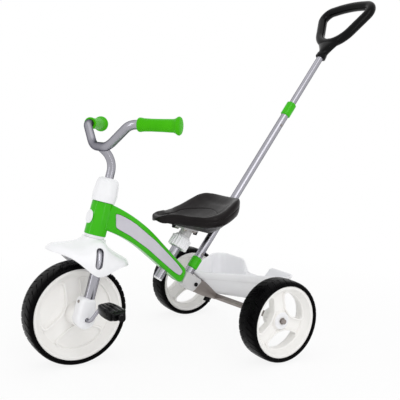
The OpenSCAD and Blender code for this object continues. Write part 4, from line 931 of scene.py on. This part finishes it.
guard_collar = lathe([(12.8, 180, 0.3), (29, 180, 1), (29.4, GUARD_TOP, 1.2), (12.8, GUARD_TOP, 0.3)], 72)
piece("mudguard_wing", joined(guard_shell(), guard_collar), steer, "steering", "white_plastic", ("mudguard",), 38,
      cutters=(slot_cutter(-100, -46), slot_cutter(46, 100)))

boot = lathe([
    (26, 275.6, 0.6), (29, 275.6, 1.2), (30.6, 294, 16), (27.6, 324, 9), (24, 332, 7), (19, 335, 3),
    (10.55, 335, 0.5), (10.55, 332, 0.5), (19, 331.5, 2), (24, 326, 3), (27, 294, 10)
])
piece("boot_dome", boot, steer, "steering", "white_plastic", ("boot",), 45)

STEM_LOW, STEM_BEND_AT, STEM_BEND, STEM_TURN, STEM_RUN, STEM_R = 296.0, 350.0, 51.0, radians(64), 16.5, 10.4
BAR_W, BAR_SPAN, BAR_RISE, BAR_SETBACK, BAR_LOW, BAR_R = 424.0, 246.0, 55.0, 17.0, 83.0, 10.75
BAR_BEND, BAR_LOW_BEND, GRIP_SWEEP = 45, 81, radians(41)
TUBE_STEPS = 40
stem_corner = (0, 0, STEM_BEND_AT + STEM_BEND * tan(STEM_TURN / 2))
stem_end = (-STEM_BEND * (1 - cos(STEM_TURN)) - STEM_RUN * sin(STEM_TURN), 0,
            STEM_BEND_AT + STEM_BEND * sin(STEM_TURN) + STEM_RUN * cos(STEM_TURN))
stem_path = bent_path([(0, 0, STEM_LOW), stem_corner, stem_end], [STEM_BEND])
stem = moved(sweep(stem_path, STEM_R, TUBE_STEPS), to_ground)
bar_middle = to_ground @ Vector(stem_end)
bar_low = bar_middle + Vector((0, -BAR_LOW / 2, 0))
bar_high = bar_middle + Vector((BAR_SETBACK, -BAR_SPAN / 2, BAR_RISE))
grip_way = Vector((sin(GRIP_SWEEP), -cos(GRIP_SWEEP), 0))
bar_end = bar_high + grip_way * (BAR_W - BAR_SPAN) / 2 / cos(GRIP_SWEEP)
bar_points = [bar_end, bar_high, bar_low, other_side(bar_low), other_side(bar_high), other_side(bar_end)]
bar = sweep(bent_path(bar_points, [BAR_BEND, BAR_LOW_BEND, BAR_LOW_BEND, BAR_BEND]), BAR_R, TUBE_STEPS)
piece("handlebar_bent", joined(stem, bar), ground, "steering", "tube_silver", ("handlebar",), 50)

# Grip from its closed outer end inward: a bell-shaped flange, a waisted body and a collar
grip = lathe([
    (0, -4.5, 0), (12, -4.2, 6), (19.2, -2.3, 4), (21, 1.2, 3), (20.4, 4.2, 3), (17.2, 8.5, 5), (15.2, 14, 6),
    (14.5, 40, 20), (14.3, 66, 20), (14.9, 84, 8), (16.2, 91, 3), (16.2, 94.5, 1.5), (14.8, 97, 1.2),
    (10.85, 97, 0.2), (10.85, 0, 0.2), (0, 0, 0)
], 72, closed=False)
grips = (("grip_left", bar_end, -grip_way), ("grip_right", other_side(bar_end), other_side(-grip_way)))
for node, end, way in grips:
    turned = way.to_track_quat("Z", "Y").to_matrix().to_4x4()
    where = ground @ Matrix.Translation(end) @ turned
    piece(node + "_moulded", grip, where, "steering", "green_grip", (node,), 40, weld=0.005)

FORK_LEG, FORK_LOW, FORK_CROWN, FORK_BEND, FORK_R = 58.0, 24, 168.0, 40.0, 12.8
STEERER_R, STEERER_BORE_R, STEERER_TOP = 12.5, 10.5, 318
fork_points = [
    (0, -FORK_LEG, FORK_LOW), (0, -FORK_LEG, FORK_CROWN), (0, FORK_LEG, FORK_CROWN), (0, FORK_LEG, FORK_LOW)
]
fork_legs = sweep(bent_path(fork_points, [FORK_BEND, FORK_BEND]), FORK_R, TUBE_STEPS)
steerer = lathe([
    (STEERER_BORE_R, FORK_CROWN, 0), (STEERER_R, FORK_CROWN, 0), (STEERER_R, STEERER_TOP, 1),
    (STEERER_BORE_R, STEERER_TOP, 0.6)
], 48)
piece("fork_bent", joined(fork_legs, steerer), steer, "steering", "tube_silver", ("fork",), 50)

# White shoe at the foot of a fork leg: a round boss about the axle that runs up into the leg's socket.
# Places and radii of the rounds that its outline goes about.
shoe_rounds = ((0, 0, 24), (-11, 37, 13), (6, 41, 9))
SHOE_IN, SHOE_OUT, SHOE_BORE_R, SHOE_POINTS = 43.0, 74.0, 8.1, 96


def shoe_ring(inset, y):
    ring = []
    for ux, uz, _ in circle(1, SHOE_POINTS):
        x, z, r = max(shoe_rounds, key=lambda c: c[0] * ux + c[1] * uz + c[2])
        ring.append((x + (r - inset) * ux, -y, z + (r - inset) * uz))
    return ring


shoe_steps = (
    (1.2, 0), (0.3, 0.4), (0, 1.4), (0, 22), (0.5, 25), (1.8, 27.6), (3.8, 29.6), (6.2, 30.7), (8.2, 31)
)
axle_hole = [[(x, -y, z) for x, z, _ in circle(SHOE_BORE_R, SHOE_POINTS)] for y in (SHOE_OUT, SHOE_IN)]
shoe = loft([shoe_ring(inset, SHOE_IN + y) for inset, y in shoe_steps] + axle_hole, closed=True)
piece("shoe_left", shoe, steer, "steering", "white_plastic", ("fork_end_left",), 40)
piece("shoe_right", mirrored(shoe), steer, "steering", "white_plastic", ("fork_end_right",), 40)


# Crank axle and pedals

CRANK_OUT, CRANK_BEND, CRANK_LENGTH, CRANK_R, CRANK_STEP = 92.0, 12.0, 46.0, 4.2, 1.25
CRANK_ANGLE = radians(40)
crank_way = Vector((sin(CRANK_ANGLE), 0, cos(CRANK_ANGLE))) * CRANK_LENGTH
spindle = Vector((0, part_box("crank_axle")[1].y / MM, 0))
crank_out = Vector((0, CRANK_OUT, 0))
crank_points = [
    crank_way - spindle, crank_way - crank_out, -crank_out, crank_out, crank_out - crank_way,
    spindle - crank_way
]
crank = sweep(bent_path(crank_points, [CRANK_BEND] * 4, CRANK_STEP), CRANK_R, 24)
piece("crank_axle_bent", crank, place(*front_axle), "front_wheel", "tube_silver", ("crank_axle",), 50)

PEDAL_W, PEDAL_T, PEDAL_TILT, PEDAL_BORE_R = 46.0, 22.0, radians(4), 5.1
# Places of the tread grooves across the pedal, their width and depth, and the part of the length that has them
PEDAL_GROOVES, PEDAL_GROOVE_W, PEDAL_GROOVE_DEPTH = (-0.5, 0, 0.5), 0.07, 1.1
PEDAL_TREAD_FROM, PEDAL_TREAD_TO = 0.03, 0.86
PEDAL_POWER, PEDAL_STEPS = 5, 40
# Share of the pedal's length, then shares of its width and thickness: a barrel with a stepped outer end
pedal_rows = [
    (0, 0.64, 0.86), (0.012, 0.7, 0.93), (0.04, 0.75, 0.97), (0.14, 0.85, 1), (0.28, 0.94, 1), (0.44, 1, 1),
    (0.6, 1, 1), (0.74, 0.95, 0.98), (0.84, 0.88, 0.95), (0.865, 0.84, 0.88), (0.875, 0.68, 0.74),
    (0.975, 0.66, 0.7), (1, 0.58, 0.6)
]


def pedal(length):
    """Pedal block along Z with three long grooves on both treads, a stepped outer end and a bore."""
    across = [-cos(pi * i / PEDAL_STEPS) for i in range(PEDAL_STEPS + 1)]
    rings = []
    for share, wide, thick in pedal_rows:
        tread = []
        for u in across:
            groove = max(exp(-((u - at) / PEDAL_GROOVE_W) ** 2) for at in PEDAL_GROOVES)
            deep = PEDAL_GROOVE_DEPTH * groove if PEDAL_TREAD_FROM < share < PEDAL_TREAD_TO else 0
            height = PEDAL_T / 2 * thick * max(0.0, 1 - abs(u) ** PEDAL_POWER) ** (1 / PEDAL_POWER) - deep
            tread.append((u * PEDAL_W / 2 * wide, height))
        rings.append([(x, y, share * length) for x, y in tread]
                     + [(x, -y, share * length) for x, y in reversed(tread[1:-1])])
    bore = [[(-x, y, z) for x, y, z in circle(PEDAL_BORE_R, len(rings[0]), z)] for z in (length, 0)]
    return loft(rings + bore, closed=True)


for side, node, body in ((-1, "pedal_left", "left_pedal"), (1, "pedal_right", "right_pedal")):
    low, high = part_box(node)
    near = low.y if side > 0 else high.y
    pin = front_axle - crank_way * MM * side
    where = Matrix.Translation((pin.x, near, pin.z)) @ Matrix.Rotation(radians(-90 * side), 4, "X") \
        @ Matrix.Rotation(-side * PEDAL_TILT, 4, "Z") @ SCALE
    piece(node + "_grooved", pedal((high.y - low.y) / MM), where, body, "black_plastic", (node,), 36)


# Push handle: a loop with a bowed crossbar on a stepped neck

HANDLE_HALF, HANDLE_CORNER, HANDLE_VERTEX, HANDLE_CROWN, HANDLE_R = 108.0, 922.37, 707.37, 939.37, 14.0
VERTEX_BEND, CORNER_BEND, CROWN_BEND = 70, 28, 355
NECK_BORE_R, NECK_LOW, NECK_BORE_TOP, NECK_POINTS = 9.8, 737, 773, 56
loop_points = [
    (0, 0, HANDLE_VERTEX), (0, -HANDLE_HALF, HANDLE_CORNER), (0, 0, HANDLE_CROWN),
    (0, HANDLE_HALF, HANDLE_CORNER)
]
loop_path = bent_path(loop_points, [VERTEX_BEND, CORNER_BEND, CROWN_BEND, CORNER_BEND], closed=True)
# Height, then half thickness and half width: the socket's step, the neck and the web between the arms
neck_rows = [
    (NECK_LOW, 15.2, 15.2), (737.6, 15.8, 15.8), (748.4, 15.2, 15.2), (749.4, 14.6, 14.6), (750, 13.6, 13.6),
    (755, 13.4, 14.6), (760, 13.3, 17.2), (766, 13.3, 21.6), (772, 13.2, 26.4), (778, 13.1, 31.4),
    (784, 13, 36.6), (790, 12.8, 42), (796, 12.6, 47.4), (801, 12.2, 51.5)
]
neck = [[(x * thick, y * wide, up) for x, y, _ in circle(1, NECK_POINTS)] for up, thick, wide in neck_rows]
bore = [circle(NECK_BORE_R, NECK_POINTS, height) for height in (NECK_LOW, NECK_BORE_TOP)]
neck = joined(loft(neck[:1] + bore, caps=(-1,)), loft(neck, caps=(-1,)))
loop = sweep(loop_path, HANDLE_R, TUBE_STEPS, closed=True)
piece("push_handle_loop", joined(loop, neck), pole, "handle", "black_plastic", ("push_handle",), 45, weld=0.005)


# Solids that keep their CAD shape take the finish of their slot

for node, solid in frame["nodes"].items():
    solid.data.materials.clear()
    solid.data.materials.append(finishes[slot_of[node]])
    if slot_of[node] == "tube_silver":
        solid.modifiers.new("even_shading", "WEIGHTED_NORMAL").keep_sharp = True


# Stage: pale floor, white surroundings, soft lamps and the camera. Lengths in metres.

WHITE = (1, 1, 1, 1)
FLOOR_GREY = (0.93, 0.93, 0.93, 1)
FLOOR_REACH = 14.0
# Share of white in the floor near the trike, and the distances over which it grows to full white
FLOOR_GLOW, GLOW_FROM, GLOW_TO = 0.88, 0.5, 1.2
SKY_LIGHT = 0.78
floor_mesh = bpy.data.meshes.new("studio_floor")
floor_corners = [(x * FLOOR_REACH, y * FLOOR_REACH, 0) for x, y in ((-1, -1), (1, -1), (1, 1), (-1, 1))]
floor_mesh.from_pydata(floor_corners, [], [(0, 1, 2, 3)])
floor = in_scene("studio_floor", floor_mesh)
pale = Finish(bpy.data.materials.new("studio_floor"))
away = pale.node("ShaderNodeVectorMath", {"operation": "LENGTH"}, {0: pale.spot()}, "Value")
glow = FLOOR_GLOW + (1 - FLOOR_GLOW) * pale.between(away, GLOW_FROM, GLOW_TO)
matt = pale.node("ShaderNodeBsdfDiffuse", None, {"Color": FLOOR_GREY})
white = pale.node("ShaderNodeEmission", None, {"Color": WHITE, "Strength": 1.0})
mixed = pale.node("ShaderNodeMixShader", None, {0: pale.seen_white() * glow, 1: matt, 2: white})
floor_mesh.materials.append(pale.end("ShaderNodeOutputMaterial", mixed))

sky = Finish(bpy.data.worlds.new("studio"))
shown = SKY_LIGHT + (1 - SKY_LIGHT) * sky.seen_white()
background = sky.node("ShaderNodeBackground", None, {"Color": WHITE, "Strength": shown})
bpy.context.scene.world = sky.end("ShaderNodeOutputWorld", background)


def softbox(name, at, aim, size, power):
    lamp = bpy.data.lights.new(name, "AREA")
    lamp.shape, lamp.size, lamp.size_y, lamp.energy = "RECTANGLE", *size, power
    made = in_scene(name, lamp)
    made.location = at
    made.rotation_euler = (Vector(aim) - Vector(at)).to_track_quat("-Z", "Y").to_euler()


softbox("key_softbox", (-0.35, -1.75, 1.75), (0, 0, 0.45), (1.0, 1.6), 9)
softbox("top_softbox", (0.3, 0.5, 2.6), (0, 0, 0.3), (2.0, 1.6), 4)
softbox("front_strip", (-2.0, -0.1, 0.95), (-0.2, 0, 0.4), (0.2, 1.5), 3)
softbox("side_strip", (-0.05, -1.8, 0.6), (-0.1, 0, 0.35), (0.16, 0.9), 1.5)

# Camera at the photograph's viewpoint, placed from the front axle along X
VIEW_AZIMUTH, VIEW_ELEVATION, VIEW_ROLL = radians(-33.13), radians(6.61), radians(2.05)
VIEW_X, VIEW_Y, VIEW_Z, VIEW_LENS, VIEW_SENSOR = -0.53802, -1.36212, 0.57531, 54.70, 36.0
flat = cos(VIEW_ELEVATION)
back = Vector((sin(VIEW_AZIMUTH) * flat, -cos(VIEW_AZIMUTH) * flat, sin(VIEW_ELEVATION)))
level = (-back).cross(Vector((0, 0, 1))).normalized()
upright = level.cross(-back)
right = level * cos(VIEW_ROLL) + upright * sin(VIEW_ROLL)
up = upright * cos(VIEW_ROLL) - level * sin(VIEW_ROLL)
lens = bpy.data.cameras.new("camera")
lens.lens, lens.sensor_width, lens.sensor_fit = VIEW_LENS, VIEW_SENSOR, "HORIZONTAL"
camera = in_scene("camera", lens)
eye = (front_axle.x + VIEW_X, VIEW_Y, VIEW_Z)
camera.matrix_world = Matrix((*zip(right, up, back, eye), (0, 0, 0, 1)))
bpy.context.scene.camera = camera
bpy.context.scene.view_settings.view_transform = "Standard"
